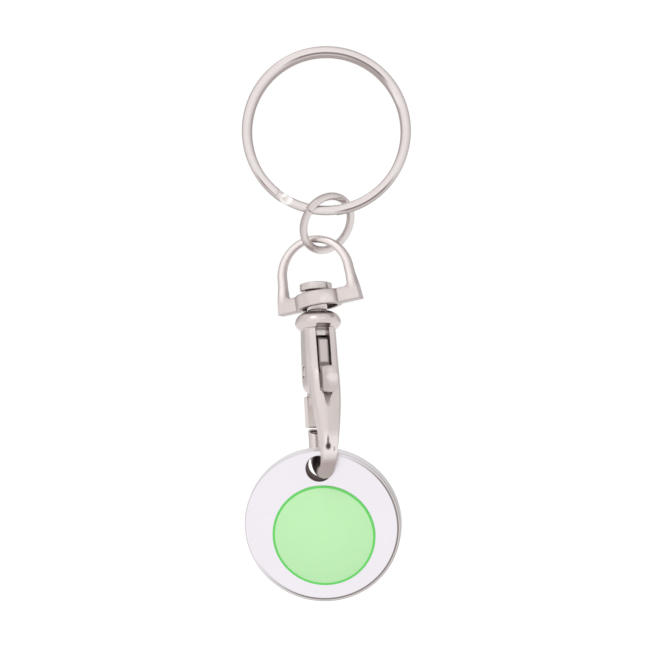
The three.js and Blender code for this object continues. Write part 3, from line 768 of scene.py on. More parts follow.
def bail_nickel():
    """The bail's plating: painted highlights on its wire's crest and its boss, painted shade at its sides
    and corners, under its boss and in its hole.
    """
    boss_middle = (-BAIL_BOSS_SHIFT, 0, 0)
    recess_top = BASE_BOTTOM + BAIL_RECESS_DEPTH

    def off_middle(place):
        """How far a place is from the line down the middle of the bent bar."""
        over = place.z | 0
        flare = place.z * (-BAIL_FLARE / BAIL_LEG) | 0
        far = (place.x * place.x + over * over).worked("POWER", 0.5)
        return abs(far - flare - BAIL_RADIUS)

    # Painted highlight along the crest of the bent bar.
    def wire_crest_highlight(place):
        return off_middle(place).below(0.05, 0.4, 0.9) * place.z.spread(-BAIL_LEG + 0.4, -BAIL_LEG + 2)

    # Painted shade at the sides of the bent bar.
    def wire_side_shade(place):
        return off_middle(place).spread(0.3, 0.66) * place.z.spread(-BAIL_LEG + 0.6, -BAIL_LEG + 1.4)

    def corners(place):
        """Painted shade where the boss rises out of the bar, and along the lower edge of the bar."""
        meeting = math.sqrt((BAIL_BOSS / 2) ** 2 - (BAIL_BASE_DEPTH / 2) ** 2)
        beside = abs(abs(place.x + BAIL_BOSS_SHIFT) - meeting).below(0.06, 0.16, 0.8)
        lower_edge = place.z.below(BASE_BOTTOM + 0.1, BASE_BOTTOM + 0.22, 0.6)
        return beside * place.z.below(BASE_TOP, BASE_TOP + 0.1) | lower_edge

    # Painted shade in the recess under the boss.
    def under_boss(place):
        near = place.from_line(boss_middle, Z).below(BAIL_RECESS / 2, BAIL_RECESS / 2 + 0.12)
        return near * place.z.below(recess_top - 0.02, recess_top + 0.12)

    # Painted shade in the hole.
    def in_hole(place):
        near = place.from_line(boss_middle, Z).below(BAIL_HOLE / 2 - 0.02, BAIL_HOLE / 2 + 0.08)
        return near * place.z.below(BASE_TOP + 0.02, BASE_TOP + 0.1)

    # Painted highlight on the front of the boss and bar.
    bar_highlight = blot(middle=(2.1, -4.5), half_size=(1.0, 1.3), strength=0.4, front=-1)
    marks = [
        (wire_crest_highlight, BAIL_CREST_HIGHLIGHT, 0.3),
        (wire_side_shade, BAIL_SIDE_SHADE, 0.4),
        (bar_highlight, HIGHLIGHT_TONE, 0.3),
        (corners, CAST_SHADE, 0.45),
        (under_boss, DEEP_SHADE, 0.6),
        (in_hole, DEEP_SHADE, 0.6),
    ]
    return plated("bail_nickel", CAST_TONES, CAST_GRAIN, (0.26, 0.44), BAIL, marks)


def rivet_nickel():
    """The rivet's plating, with turned lines painted darker as shade in a band over its foot in the slot."""
    foot_top = -COLLAR_LIFT - BAIL_BASE_HEIGHT / 2 - SLOT_TOP + RIVET_FOOT_RISE
    line_pitch = 0.42
    neck_low = -3

    # Turned lines, painted darker as shade where the foot sits in the slot.
    def turned_shade_band(place):
        lines = (place.z * (2 * math.pi / line_pitch)).worked("SINE").spread(-1, 1, 0.55, 1.0)
        band = place.z.spread(foot_top - 1.35, foot_top - 1.1)
        return band * lines * place.z.spread(neck_low, neck_low - 0.3)

    marks = [(turned_shade_band, GAP_SHADE, 0.5)]
    return plated("rivet_nickel", TURNED_TONES, TURNED_GRAIN, (0.24, 0.4), RIVET, marks)


# Painted shade in the groove, then painted dark reflections, on the front of the leg: middle and half size
# across and upward, strength, tone.
LEG_SHADE_AND_REFLECTIONS = (
    ((-0.2, -13.2), (0.5, 1.6), 0.75, GAP_SHADE),
    ((-0.45, -19.7), (0.22, 0.9), 0.85, DEEP_SHADE),
    ((-0.42, -20.5), (0.46, 0.62), 1.0, DARK_REFLECTION),
    ((0.5, -20.9), (0.18, 0.45), 0.85, CAST_SHADE),
)
LEG_FACE = -1


def hook_nickel():
    """The hook's plating: painted shade in the slot, the groove, the socket and under the token; worn smooth
    and painted brighter as a highlight low on the leg, with painted dark reflections there.
    """
    def bend_bottom(place):
        return place.z.below(-HOOK_LENGTH * 0.93, -HOOK_LENGTH * 0.87)

    # Worn smooth by rubbing, and painted brighter as a highlight.
    def rubbed_highlight(place):
        low = abs(place.z + HOOK_LENGTH * 0.825).below(1.0, 2.2)
        across = abs(place.x - 0.05).below(0.9, 1.2, 0.8)
        return low * across * place.y.spread(LEG_FACE, LEG_FACE - 0.5)

    # Painted shade inside the slot.
    def in_slot(place):
        inside = abs(place.x).below(SLOT_WIDTH / 2 + 0.02, SLOT_WIDTH / 2 + 0.14)
        behind_front = place.y.spread(FRONT + 0.1, FRONT + 0.7)
        above_run_out = place.z.spread(-SLOT_BOTTOM, -SLOT_BOTTOM + 0.5)
        below_rivet = place.z.below(-RIVET_TAIL_REACH - 0.2, -RIVET_TAIL_REACH)
        return inside * behind_front * above_run_out * below_rivet

    # Painted shade in the socket at the tip.
    def in_socket(place):
        bottom = (0, TIP_REACH, -TIP_DROP - TIP_SOCKET_DEPTH * 0.7)
        return place.from_point(bottom).below(TIP_SOCKET * 0.5, TIP_SOCKET * 0.62)

    # Painted shade on the hook where it passes through the token's hole.
    def under_token(place):
        return Place(place.tree, TOKEN).from_point((0, 0, HOLE_RISE)).below(1.5, 2.4)

    marks = [(bend_bottom, BEND_TONE, 0.9), (rubbed_highlight, RUBBED_HIGHLIGHT, 0.25)]
    for middle, half_size, strength, tone in LEG_SHADE_AND_REFLECTIONS:
        marks.append((blot(middle, half_size, strength, LEG_FACE), tone, 0.5))
    marks += [(in_slot, SIDE_SHADE, 0.6), (in_socket, DEEP_SHADE, 0.6), (under_token, DEEP_SHADE, 0.45)]
    return plated("hook_nickel", CAST_TONES, CAST_GRAIN, (0.24, 0.42), HOOK, marks)


def lever_nickel():
    """The lever's plating: painted shade on its sides in the slot, its knob with painted shade on the left
    and below and a painted highlight.
    """
    arm_top = -PIN_DROP + ARM_HEIGHT
    knob_middle = -PIN_DROP - KNOB_DROP
    knob_top = knob_middle + KNOB_SIZE[Z] / 2
    knob_low = knob_middle - KNOB_SIZE[Z] / 2

    def gate(place):
        return place.z.below(-HOUSING_LENGTH - 0.1, -HOUSING_LENGTH + 0.2)

    def arm(place):
        return place.z.spread(knob_top - 0.3, knob_top)

    def on_knob(place):
        return place.y.spread(FRONT, FRONT - 0.3) * place.z.spread(knob_top - 0.1, knob_top - 0.3)

    # Painted shade on the left of the knob.
    def knob_shade(place):
        return on_knob(place) * place.x.below(-0.6, 0.1)

    # Painted shade low on the knob.
    def knob_foot_shade(place):
        return on_knob(place) * place.z.below(knob_low + 0.5, knob_low + 1.3, 0.8)

    # Deep painted shade on the knob's left flank.
    def knob_left_shade(place):
        return on_knob(place) * place.x.below(-1.2, -0.95)

    # Painted shade along the arm's sides and top in the slot, and in the step where the arm runs under the
    # knob.
    def sides(place):
        side = abs(place.x).spread(LEVER_WIDTH / 2 - 0.34, LEVER_WIDTH / 2 - 0.04)
        top = place.z.spread(arm_top - 0.34, arm_top - 0.06)
        step = abs(place.z - (knob_top + 0.45)).below(0.2, 0.45, 0.9)
        over_knob = place.z.spread(knob_top - 0.5, knob_top - 0.3)
        return (side | top | step) * over_knob * place.y.spread(FRONT - 0.35, FRONT - 0.15)

    # Painted highlight on the knob.
    knob_highlight = blot((0.5, knob_middle + 0.15), half_size=(1.2, 0.8), strength=0.7, front=FRONT)
    marks = [
        (gate, GATE_TONE, 0.55),
        (arm, ARM_TONE, 0.4),
        (knob_shade, KNOB_SHADE, 0.45),
        (knob_foot_shade, KNOB_SHADE, 0.45),
        (knob_highlight, KNOB_HIGHLIGHT, 0.3),
        (knob_left_shade, DEEP_SHADE, 0.5),
        (sides, DEEP_SHADE, 0.5),
    ]
    return plated("lever_nickel", CAST_TONES, CAST_GRAIN, (0.28, 0.44), HOOK, marks)


def token_nickel():
    """The token's plating, with painted shade in its hole, painted shade and dark painted shade lines along
    the rim, strongest low on the right, and a painted highlight on its side, strongest high on the left.
    """
    radius = TOKEN_DIAMETER / 2
    edge = radius - TOKEN_EDGE
    edge_back = TOKEN_EDGE - TOKEN_THICKNESS / 2
    middle = (0, 0, 0)

    def low_right(place, low, high):
        return (place.x * 0.8 - place.z * 0.6).spread(-6, 5, low, high)

    # Painted shade on the rounded rim.
    def rim(place):
        return place.from_line(middle).spread(radius - 0.5, radius - 0.36) * low_right(place, 0.0, 1.0)

    # Painted highlight on the token's side.
    def side_highlight(place):
        return place.from_line(middle).spread(radius - 0.12, radius - 0.02) * low_right(place, 1.0, 0.2)

    # A dark painted shade line where the face meets the rim.
    def rim_shade_line(place):
        return abs(place.from_line(middle) - (radius - 0.42)).below(0.06, 0.18) * low_right(place, -0.1, 1.2)

    # A dark painted shade line along the outer edge.
    def edge_shade_line(place):
        outer = place.from_line(middle).spread(edge - 0.06, edge + 0.02)
        return outer * place.y.spread(edge_back + 0.1, edge_back - 0.04) * low_right(place, 0.35, 0.5)

    # Painted shade in the hole.
    def in_hole(place):
        return place.from_line((0, 0, HOLE_RISE)).below(TOKEN_HOLE / 2 + 0.02, TOKEN_HOLE / 2 + 0.1)

    marks = [
        (rim, TOKEN_RIM_SHADE, 0.35),
        (side_highlight, TOKEN_SIDE_HIGHLIGHT, 0.5),
        (rim_shade_line, TOKEN_SHADE_LINE, 0.35),
        (edge_shade_line, TOKEN_SHADE_LINE, 0.35),
        (in_hole, HOLE_SHADE, 0.6),
    ]
    return plated("token_nickel", TOKEN_TONES, TOKEN_GRAIN, (0.24, 0.38), TOKEN, marks)


# Split ring

# Degrees from a cut end of the wire, and the share of the wire's size there.
RING_END_SHARES = ((0, 0.78), (0.15, 0.93), (0.36, 1))


def split_ring():
    spacing = RING_WIRE_THICKNESS + RING_COIL_GAP
    outline = oval(RING_WIRE_WIDTH / 2, RING_WIRE_THICKNESS / 2, RING_WIRE_POWER, sides=36)
    start, end = RING_START_ANGLE, RING_END_ANGLE
    lead = [(start + degrees, size) for degrees, size in RING_END_SHARES]
    tail = [(end - degrees, size) for degrees, size in reversed(RING_END_SHARES)]
    steps = 400
    even = [start + (end - start) * step / steps for step in range(steps + 1)]
    middle = [(angle, 1) for angle in even if lead[-1][0] < angle < tail[0][0]]
    rings = []
    for angle, size in lead + middle + tail:
        share = smoothstep(angle, RING_JOGGLE_START, RING_JOGGLE_END)
        outward = spoke(math.radians(-90 - angle))
        centre = Vector((0, (share - 0.5) * spacing, RING_CENTRE - share * RING_COIL_DROP))
        centre += outward * (RING_RADIUS - share * RING_COIL_TUCK)
        rings.append(ring_of_points(outline, centre, outward, FORWARD, size))
    made = as_object("split_ring_wire", skin(rings), RING)
    finished(made, ring_nickel(), "ring", ["split_ring"], flat_angle=40)


# Jump ring

JUMP_END_SHARE = 0.9


def jump_ring():
    outline = oval(JUMP_WIRE / 2, JUMP_WIRE / 2, power=2, sides=32)
    cut = math.degrees(JUMP_CUT_WIDTH / JUMP_RADIUS)
    steps = 160
    rings = []
    for step in range(steps + 1):
        share = step / steps
        outward = spoke(math.radians(JUMP_CUT_ANGLE + cut / 2 + share * (360 - cut)))
        centre = outward * JUMP_RADIUS + FORWARD * ((share - 0.5) * JUMP_CUT_STEP)
        size = JUMP_END_SHARE if step in (0, steps) else 1
        rings.append(ring_of_points(outline, centre, outward, FORWARD, size))
    made = as_object("jump_ring_wire", skin(rings), JUMP)
    finished(made, jump_nickel(), "link", ["jump_ring"], flat_angle=40)


# Swivel bail

def bail_wire():
    """The bent bar: slimmer over its crown, with legs that widen inward and grow square at the bar."""
    squareness, leg_blend, fillet_steps, leg_steps, arch_steps = 6, 2, 8, 6, 72
    rings = []

    def add_ring(width, depth, centre, outward, power=BAIL_WIRE_POWER):
        outline = oval(width / 2, depth / 2, power, sides=40)
        rings.append(ring_of_points(outline, centre, outward, FORWARD))

    def add_leg(side, height):
        share = min(max((height - BASE_TOP) / BAIL_FILLET, 0), 1)
        widening = BAIL_FILLET * (1 - math.sqrt(1 - (1 - share) ** 2))
        x = side * (BAIL_RADIUS - BAIL_FLARE * height / BAIL_LEG - widening / 2)
        depth = BAIL_WIRE_DEPTH + (BAIL_FOOT_DEPTH - BAIL_WIRE_DEPTH) * height / BASE_TOP
        low = 1 - smoothstep(height, BASE_TOP - 0.1, BASE_TOP + leg_blend)
        depth = min(depth + (BAIL_BASE_DEPTH - BAIL_FOOT_DEPTH) * low, BAIL_BASE_DEPTH)
        power = BAIL_WIRE_POWER + squareness * low
        add_ring(BAIL_WIRE_WIDTH + widening, depth, Vector((x, 0, height)), Vector((side, 0, 0)), power)

    heights = [BASE_BOTTOM + 0.02, -BAIL_LEG]
    heights += [BASE_TOP + BAIL_FILLET * (k / fillet_steps) ** 2 for k in range(fillet_steps + 1)]
    heights += [(BASE_TOP + BAIL_FILLET) * (1 - k / leg_steps) for k in range(1, leg_steps)]
    for height in heights:
        add_leg(1, height)
    for step in range(arch_steps + 1):
        angle = math.pi * step / arch_steps
        outward = spoke(angle)
        width = BAIL_WIRE_WIDTH + (BAIL_CROWN_WIDTH - BAIL_WIRE_WIDTH) * math.sin(angle)
        add_ring(width, BAIL_WIRE_DEPTH, outward * BAIL_RADIUS, outward)
    for height in reversed(heights):
        add_leg(-1, height)
    return skin(rings)


def bail_bar():
    half_depth = BAIL_BASE_DEPTH / 2
    corners = []
    for z, side in ((BASE_BOTTOM, -1), (BASE_BOTTOM, 1), (BASE_TOP, 1), (BASE_TOP, -1)):
        corners.append((side * (BAIL_RADIUS + BAIL_WIRE_WIDTH / 2 - BAIL_FLARE * z / BAIL_LEG), z))
    return skin([[Vector((x, y, z)) for x, z in corners] for y in (-half_depth, half_depth)])


def swivel_bail():
    radius, edge = BAIL_BOSS / 2, BAIL_EDGE
    boss = lathe([
        (0, BASE_BOTTOM), (radius - edge, BASE_BOTTOM), (radius, BASE_BOTTOM + edge),
        (radius, BASE_TOP - edge), (radius - edge, BASE_TOP), (0, BASE_TOP),
    ])
    hole = cylinder(BAIL_HOLE / 2, BASE_BOTTOM - CUT_OVERRUN, BASE_TOP + CUT_OVERRUN)
    recess = cylinder(BAIL_RECESS / 2, BASE_BOTTOM - CUT_OVERRUN, BASE_BOTTOM + BAIL_RECESS_DEPTH)
    aside = Matrix.Translation((-BAIL_BOSS_SHIFT, 0, 0))
    boss, hole, recess = (moved(mesh, aside) for mesh in (boss, hole, recess))
    solids = [bail_wire(), bail_bar(), boss]
    made = cast("swivel_bail_casting", solids, [hole, recess], BAIL, grain=0.07, rounds=6)
    finished(made, bail_nickel(), "bail", ["swivel_bail"])


# Swivel rivet

def swivel_rivet():
    """The foot with its turned ridges, the tail, the neck with a small shoulder, and the domed head."""
    half_base = BAIL_BASE_HEIGHT / 2
    head, neck, tail, foot = RIVET_HEAD / 2, RIVET_NECK / 2, RIVET_TAIL / 2, RIVET_FOOT / 2
    head_low = half_base + RIVET_HEAD_LIFT
    collar_top = -(half_base + COLLAR_LIFT)
    tail_end = collar_top - RIVET_TAIL_REACH
    foot_top = collar_top - SLOT_TOP + RIVET_FOOT_RISE
    lip_end = tail_end - RIVET_LIP
    lip_edge, lip_bevel, ridges, ridge_depth, ridge_low = 0.12, 0.15, 7, 0.06, tail_end + 0.45
    neck_low, shoulder, fillet, head_round = collar_top + 0.2, 0.08, 0.06, 0.16
    corner_in, corner_up = 0.04, 0.05
    profile = [(0, tail_end), (tail, tail_end), (tail + lip_bevel, lip_end)]
    profile += [(foot - lip_edge, lip_end), (foot, lip_end + lip_edge)]
    for ridge in range(1, ridges + 1):
        depth = ridge_depth if ridge % 2 else 0
        profile.append((foot - depth, ridge_low + (foot_top - ridge_low) * ridge / ridges))
    profile += [(tail, foot_top + 0.05), (tail, neck_low)]
    profile += [(neck - shoulder, neck_low), (neck, neck_low + shoulder)]
    profile += [(neck, head_low - fillet), (neck + fillet, head_low), (head - head_round, head_low)]
    profile += [(head - corner_in, head_low + corner_up), (head, head_low + head_round)]
    dome_steps = 20
    for step in range(dome_steps, -1, -1):
        share = math.sin(math.pi / 2 * step / dome_steps)
        drop = RIVET_HEAD_EDGE * (1 - math.sqrt(1 - share ** 2))
        profile.append((head * share, head_low + RIVET_HEAD_HEIGHT - drop))
    made = as_object("swivel_rivet_turned", lathe(profile), RIVET)
    finished(made, rivet_nickel(), "hook", ["swivel_rivet"], flat_angle=50)


# Hook body

def housing():
    rings = []
    steps = 6
    for place in [k / steps for k in range(steps * (len(HOUSING_SHARES) - 1) + 1)]:
        drop, width, front, back = curve_point(HOUSING_SHARES, place)
        low, high = front * FRONT, back * BACK
        centre = Vector((0, (low + high) / 2, -drop * HOUSING_LENGTH))
        outline = oval(width * HALF_WIDTH, (high - low) / 2, HOUSING_POWER, sides=64)
        rings.append(ring_of_points(outline, centre, SIDEWAYS, FORWARD))
    return skin(rings)


def front_leg():
    rings = []
    steps, reach_to = 12, 0.01
    places = [k / steps for k in range(steps * (len(LEG_SHARES) - 1) + 1)]
    for place in places:
        reach, drop, width, depth = curve_point(LEG_SHARES, place)
        ahead = curve_point(LEG_SHARES, min(place + reach_to, places[-1]))
        behind = curve_point(LEG_SHARES, max(place - reach_to, 0))
        along = Vector((
            0, (ahead[0] - behind[0]) * HOOK_REACH, -(ahead[1] - behind[1]) * HOOK_LENGTH,
        )).normalized()
        centre = Vector((0, reach * HOOK_REACH, -drop * HOOK_LENGTH))
        outline = oval(width * HALF_WIDTH, depth * HOUSING_DEPTH / 2, LEG_POWER, sides=48)
        rings.append(ring_of_points(outline, centre, SIDEWAYS, SIDEWAYS.cross(along)))
    return skin(rings)


def collar():
    steps = 5
    last = steps * (len(COLLAR_SHARES) - 2)
    inner = [curve_point(COLLAR_SHARES, k / steps) for k in range(steps, last + 1)]
    profile = [(0, 0)] + [(out * COLLAR / 2, -down * COLLAR_HEIGHT) for out, down in inner]
    profile.append((0, profile[-1][1]))
    return lathe(profile)


def groove():
    """The V in which the slot runs out on the front leg."""
    reach, _, _, depth = LEG_SHARES[2]
    leg_front = reach * HOOK_REACH - depth * HOUSING_DEPTH / 2
    half, bottom_share, end_share = SLOT_WIDTH / 2, 0.7, 0.9
    surface, deep = leg_front - CUT_OVERRUN, leg_front + GROOVE_DEPTH
    corners = ((-half, surface), (half, surface), (half * bottom_share, deep), (-half * bottom_share, deep))

    def ring_at(height):
        return [Vector((x, y, height)) for x, y in corners]

    upper = ring_at(-SLOT_BOTTOM)
    tip = Vector((-GROOVE_SIDE, leg_front, -SLOT_BOTTOM - GROOVE_LENGTH))
    lower = [corner.lerp(tip, end_share) for corner in upper]
    return skin([ring_at(-SLOT_BOTTOM + GROOVE_DEPTH), upper, lower])


def tip_cuts():
    """What lies over the sloping end of the tip, and the small socket in that end."""
    place = Matrix.Translation((0, TIP_REACH, -TIP_DROP)) @ turn(TIP_SLOPE, "X")
    over = cylinder(HOUSING_WIDTH, 0, CUT_OVERRUN, steps=4)
    socket = cylinder(TIP_SOCKET / 2, -TIP_SOCKET_DEPTH, CUT_OVERRUN, steps=48)
    return [moved(over, place), moved(socket, place)]


def on_pin(mesh):
    """A shape that is drawn round Z, laid along the gate's pin."""
    return moved(mesh, Matrix.Translation((0, PIN_BACK, -PIN_DROP)) @ turn(90, "Y"))


def hook_body():
    wall_inside = BACK - BACK_WALL
    wall_end = -SLOT_TOP - BACK_WALL_LENGTH
    under = -SLOT_BOTTOM - CUT_OVERRUN
    far = HOOK_REACH + BACK
    slot = plate(
        [(-far, -SLOT_TOP), (wall_inside, -SLOT_TOP), (wall_inside, wall_end), (far, wall_end),
         (far, under), (PIN_BACK, under), (PIN_BACK, -SLOT_BOTTOM), (-far, -SLOT_BOTTOM)],
        SLOT_WIDTH,
    )
    tail_bore = cylinder(RIVET_TAIL / 2 + TAIL_CLEARANCE, -RIVET_TAIL_REACH, CUT_OVERRUN)
    pin_bore = on_pin(cylinder(PIN_BORE / 2, -HOUSING_WIDTH, HOUSING_WIDTH))
    solids = [collar(), housing(), front_leg()]
    cuts = [slot, groove(), tail_bore, pin_bore, *tip_cuts()]
    made = cast("hook_body_casting", solids, cuts, HOOK, grain=0.06, rounds=5)
    finished(made, hook_nickel(), "hook", ["hook_body"])


def gate_pin():
    """The cross pin, with its two ends peened over to a low dome."""
    radius, half = PIN / 2, HOUSING_WIDTH * 0.99 / 2
    dome = ((0, 0), (0.55, 0.02), (0.85, 0.07), (1, 0.17))
    profile = [(radius * share, -half + rise) for share, rise in dome]
    profile += [(r, -z) for r, z in reversed(profile)]
    made = as_object("gate_pin_peened", on_pin(lathe(profile, steps=48)), HOOK)
    turned_nickel = plated("turned_nickel", TURNED_TONES, TURNED_GRAIN, (0.24, 0.4))
    finished(made, turned_nickel, "hook", ["gate_pin"], flat_angle=50)


# Gate lever

GATE_TOP = -HOUSING_LENGTH - GATE_TOP_GAP
GATE_MIDDLE = TIP_REACH - GATE_THICKNESS / 8
GATE_FRONT, GATE_BACK = GATE_MIDDLE - GATE_THICKNESS / 2, GATE_MIDDLE + GATE_THICKNESS / 2


def knob():
    """The thumb knob: a cushion that stands proud of the slot."""
    mesh = bmesh.new()
    bmesh.ops.create_uvsphere(mesh, u_segments=48, v_segments=32, radius=1)
    for vert in mesh.verts:
        vert.co = Vector([
            math.copysign(abs(value) ** KNOB_ROUNDNESS, value) * size / 2
            for value, size in zip(vert.co, KNOB_SIZE)
        ])
    forward = PIN_BACK - KNOB_FORWARD - KNOB_SIZE[Y] / 2
    return moved(mesh, Matrix.Translation((0, forward, -PIN_DROP - KNOB_DROP)))


def lever_blade():
    """The arm, the web of the knob and the neck of the gate, as one plate."""
    hub = HUB / 2
    pin_y, pin_z = PIN_BACK, -PIN_DROP
    arm_front = pin_y - ARM_FORWARD
    arm_back = arm_front + ARM_THICKNESS
    arm_top = pin_z + ARM_HEIGHT
    rounding = ARM_THICKNESS / 3
    knob_top = pin_z - KNOB_DROP + KNOB_SIZE[Z] / 2 - rounding
    knob_low = knob_top - KNOB_WEB
    knob_back = pin_y - KNOB_FORWARD - KNOB_SIZE[Y] / 4
    return plate(
        [(arm_front + rounding, arm_top), (arm_back - rounding, arm_top), (arm_back, arm_top - rounding),
         (arm_back, pin_z + hub), (pin_y + hub * 0.7, pin_z + hub * 0.7), (pin_y + hub, pin_z),
         (GATE_BACK, GATE_TOP + GATE_THICKNESS / 2), (GATE_BACK, GATE_TOP - GATE_THICKNESS),
         (GATE_FRONT, GATE_TOP - GATE_THICKNESS), (pin_y + hub * 0.3, pin_z - hub * 1.35),
         (pin_y - hub * 0.7, pin_z - hub), (arm_front, knob_low), (knob_back, knob_low),
         (knob_back, knob_top), (arm_front, knob_top), (arm_front, arm_top - rounding)],
        LEVER_WIDTH,
    )


def lever_gate():
    """The gate: its low end follows the slope of the tip, inside the circle in which it swings past."""
    pin_y, pin_z = PIN_BACK, -PIN_DROP
    slope = math.radians(TIP_SLOPE)
    shut = (GATE_BACK - TIP_REACH) * math.tan(slope) - TIP_DROP + GATE_END_GAP / math.cos(slope)
    swing = (TIP_DROP + pin_z) * math.cos(slope) + (TIP_REACH - pin_y) * math.sin(slope) - GATE_SWING_GAP
    steps = 10
    outline = []
    for step in range(steps + 1):
        y = GATE_FRONT + (GATE_BACK - GATE_FRONT) * step / steps
        outline.append((y, max(shut, pin_z - math.sqrt(swing ** 2 - (y - pin_y) ** 2))))
    outline += [(GATE_BACK, GATE_TOP - GATE_EDGE), (GATE_BACK - GATE_EDGE, GATE_TOP), (GATE_FRONT, GATE_TOP)]
    return plate(outline, GATE_WIDTH)


def gate_lever():
    hub = on_pin(cylinder(HUB / 2, -LEVER_WIDTH / 2, LEVER_WIDTH / 2))
    bore = on_pin(cylinder(PIN_BORE / 2, -CUT_OVERRUN, CUT_OVERRUN))
    solids = [lever_blade(), lever_gate(), knob(), hub]
    made = cast("gate_lever_casting", solids, [bore], HOOK, grain=0.05, rounds=5)
    finished(made, lever_nickel(), "gate", ["gate_lever"])


def gate_spring():
    start = PIN_BACK - ARM_FORWARD + ARM_THICKNESS + SPRING_CLEARANCE
    end = BACK - BACK_WALL - SPRING_CLEARANCE
    height = -PIN_DROP + SPRING_RISE
    turns = (end - start - 2 * SPRING_WIRE) / SPRING_PITCH
    outline = oval(SPRING_WIRE / 2, SPRING_WIRE / 2, power=2, sides=12)
    steps = 96
    rings = []
    for step in range(steps + 1):
        share = step / steps
        outward = spoke(share * turns * 2 * math.pi)
        centre = Vector((0, start + SPRING_WIRE / 2 + share * (end - start - SPRING_WIRE), height))
        centre += outward * (SPRING - SPRING_WIRE) / 2
        rings.append(ring_of_points(outline, centre, outward, FORWARD))
    made = as_object("gate_spring_wire", skin(rings), HOOK)
    spring_wire = plated("spring_wire", SPRING_TONES, SPRING_GRAIN, (0.25, 0.42))
    finished(made, spring_wire, "hook", ["gate_spring"], flat_angle=60)
    along = (HOOK.to_3x3() @ FORWARD).normalized()
    seat = HOOK @ Vector((0, end, height))
    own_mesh(made)


# Token

def token():
    """The token, skinned from the wall of its hole out over both faces to its rim."""
    radius, half = TOKEN_DIAMETER / 2, TOKEN_THICKNESS / 2
    hole, edge, hole_edge = TOKEN_HOLE / 2, TOKEN_EDGE, TOKEN_HOLE_EDGE
    face_low, face_high = hole + hole_edge, radius - edge
    face_shares = (0.04, 0.35, 0.7, 0.97)
    arc_steps, steps = 5, 192
    taper_side = Vector((0.6, 0, 0.8))
    arc = [math.pi / 2 * k / arc_steps for k in range(arc_steps + 1)]
    near = [(0, hole + hole_edge * (1 - math.cos(a)), half - hole_edge * (1 - math.sin(a))) for a in arc]
    near += [(share, face_low * (1 - share) + face_high * share, half) for share in face_shares]
    near += [(1, radius - edge * (1 - math.sin(a)), half - edge * (1 - math.cos(a))) for a in arc]
    circle = [spoke(2 * math.pi * k / steps) for k in range(steps)]
    rings = []
    for share, size, y in near + [(share, size, -y) for share, size, y in reversed(near)]:
        centre = Vector((0, y, HOLE_RISE * (1 - share)))
        if share == 0 and y > 0:
            size -= TOKEN_HOLE_TAPER
            centre += taper_side * TOKEN_HOLE_TAPER
        rings.append([centre + outward * size for outward in circle])
    made = as_object("trolley_token", skin(rings, closed=True), TOKEN)
    finished(made, token_nickel(), "token", ["trolley_coin"], flat_angle=50)


def print_layer(name, inner, outer, raised, material):
    """A thin printed layer on the token's face: a disc, or a band where it has an inner radius."""
    drop = TOKEN_DIAMETER / 2 - PRINT_RIM_GAP - PRINT_DIAMETER / 2
    low = -TOKEN_THICKNESS / 2 - PRINT_CLEARANCE
    high = low - PRINT_THICKNESS - raised
    edge = PRINT_EDGE
    border = [(outer - edge, high), (outer, high + edge), (outer, low)]
    steps = 128
    if inner:
        profile = [(inner, low), (inner, high + edge), (inner + edge, high)] + border
        spokes = [spoke(2 * math.pi * k / steps) for k in range(steps)]
        mesh = skin([[outward * r + FORWARD * y for r, y in profile] for outward in spokes], closed=True)
    else:
        profile = [(0, low)] + border[::-1] + [(0, high)]
        mesh = moved(lathe([(r, -y) for r, y in profile], steps), turn(90, "X"))
    made = as_object(name, moved(mesh, Matrix.Translation((PRINT_SIDE, 0, -drop))), TOKEN)
    finished(made, material, "token", ["print_disc"], flat_angle=50)


def print_disc():
    pale_green = printed("pale_green_print", PALE_GREEN)
    deep_green = printed("deep_green_print", DEEP_GREEN)
    line_inside = PRINT_DIAMETER / 2 - PRINT_LINE
    print_layer("print_field", 0, line_inside + PRINT_OVERLAP, 0, pale_green)
    print_layer("print_outline", line_inside, PRINT_DIAMETER / 2, 0.01, deep_green)


split_ring()
jump_ring()
swivel_bail()
swivel_rivet()
hook_body()
gate_pin()
gate_lever()
gate_spring()
token()
print_disc()


# Stage, light and camera, in metres

VIEW_WIDTH = 0.0962
VIEW_CENTRE = Vector((-0.0002, 0, -0.0395))
CAMERA_DISTANCE = 0.9
SENSOR_WIDTH = 36
FLOOR_RADIUS = 4
FLOOR_DROP = 0.012
FLOOR_GLOW = 1.15
FLOOR_GLOW_SHARE = 0.75
WORLD_LIGHT = 0.93


def rays(tree, *labels):
    """Where a ray is one of the named kinds."""
    path = tree.nodes.new("ShaderNodeLightPath")
    seen = Field(path.outputs[labels[0]])
    for label in labels[1:]:
        seen = seen | Field(path.outputs[label])
    return seen


def mix_shaders(share, first, second, end):
    inputs = {0: share, 1: first.outputs[0], 2: second.outputs[0]}
    feed(end, {"Surface": new_node(share.tree, "ShaderNodeMixShader", inputs).outputs[0]})


def glow(tone, strength):
    return {"Color": (tone, tone, tone), "Strength": strength}


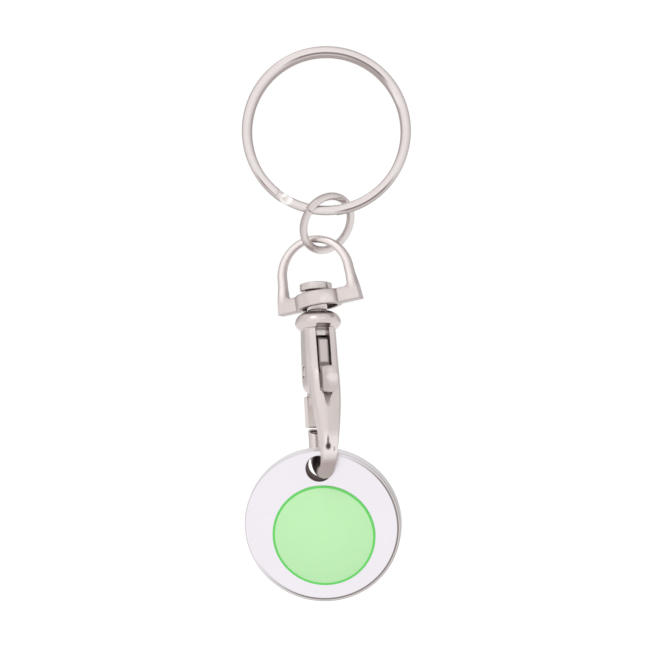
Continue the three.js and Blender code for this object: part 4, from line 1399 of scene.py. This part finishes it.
def floor():
    low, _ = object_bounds()
    mesh = bmesh.new()
    bmesh.ops.create_circle(mesh, cap_ends=True, segments=96, radius=FLOOR_RADIUS)
    made = as_object("floor", mesh, Matrix.Translation((0, 0, low[2] - FLOOR_DROP)))
    material, tree, surface = new_material("floor_white")
    feed(surface, {"Base Color": (0.9, 0.9, 0.9), "Roughness": 0.9, "Specular IOR Level": 0.1})
    lit = new_node(tree, "ShaderNodeEmission", glow(1, FLOOR_GLOW))
    seen = rays(tree, "Is Camera Ray", "Is Glossy Ray")
    mix_shaders(seen * FLOOR_GLOW_SHARE, surface, lit, tree.nodes["Material Output"])
    made.data.materials.append(material)
    made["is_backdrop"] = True


def studio_world():
    world = bpy.data.worlds.new("studio")
    bpy.context.scene.world = world
    world.use_nodes = True
    tree = world.node_tree
    light = tree.nodes["Background"]
    feed(light, glow(1, WORLD_LIGHT))
    white = new_node(tree, "ShaderNodeBackground", glow(1, 1))
    seen = rays(tree, "Is Camera Ray", "Is Glossy Ray", "Is Transmission Ray")
    mix_shaders(seen, light, white, tree.nodes["World Output"])


def soft_light(name, place, size, power):
    data = bpy.data.lights.new(name, "AREA")
    data.shape = "DISK"
    data.size = size
    data.energy = power
    made = bpy.data.objects.new(name, data)
    made.location = place
    made.rotation_euler = (VIEW_CENTRE - Vector(place)).to_track_quat("-Z", "Y").to_euler()
    bpy.context.scene.collection.objects.link(made)


def soft_card(name, place, size, tone):
    """A round grey card with a soft border, that only reflections show."""
    mesh = bmesh.new()
    bmesh.ops.create_circle(mesh, cap_ends=True, segments=64, radius=1)
    aim = (VIEW_CENTRE - Vector(place)).to_track_quat("Z", "Y").to_matrix().to_4x4()
    made = as_object(name, mesh)
    made.matrix_world = Matrix.Translation(place) @ aim @ Matrix.Diagonal((size, size, 1, 1))
    material, tree, _ = new_material(name)
    far = distance(object_place(tree), (0, 0, 0))
    grey = new_node(tree, "ShaderNodeEmission", glow(tone, 1))
    clear = tree.nodes.new("ShaderNodeBsdfTransparent")
    mix_shaders(far.below(0.7, 1.0), clear, grey, tree.nodes["Material Output"])
    made.data.materials.append(material)
    made.visible_camera = False
    made.visible_shadow = False
    made.visible_diffuse = False
    made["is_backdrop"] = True


def camera():
    data = bpy.data.cameras.new("photo_view")
    data.sensor_width = SENSOR_WIDTH
    data.lens = SENSOR_WIDTH * CAMERA_DISTANCE / VIEW_WIDTH
    data.clip_start = 0.01
    made = bpy.data.objects.new("photo_view", data)
    made.location = VIEW_CENTRE - FORWARD * CAMERA_DISTANCE
    made.rotation_euler = (math.radians(90), 0, 0)
    bpy.context.scene.collection.objects.link(made)
    bpy.context.scene.camera = made


floor()
studio_world()
soft_light("key_light", place=(-0.3, -0.42, 0.62), size=0.36, power=0.4)
soft_light("small_light", place=(0.32, -0.55, 0.42), size=0.16, power=0.06)
soft_light("wide_light", place=(-0.3, -0.75, 0.3), size=1.3, power=0.8)
soft_card("card_behind", place=(0, 0.45, -0.04), size=0.95, tone=0.68)
camera()
bpy.context.scene.view_settings.view_transform = "Standard"
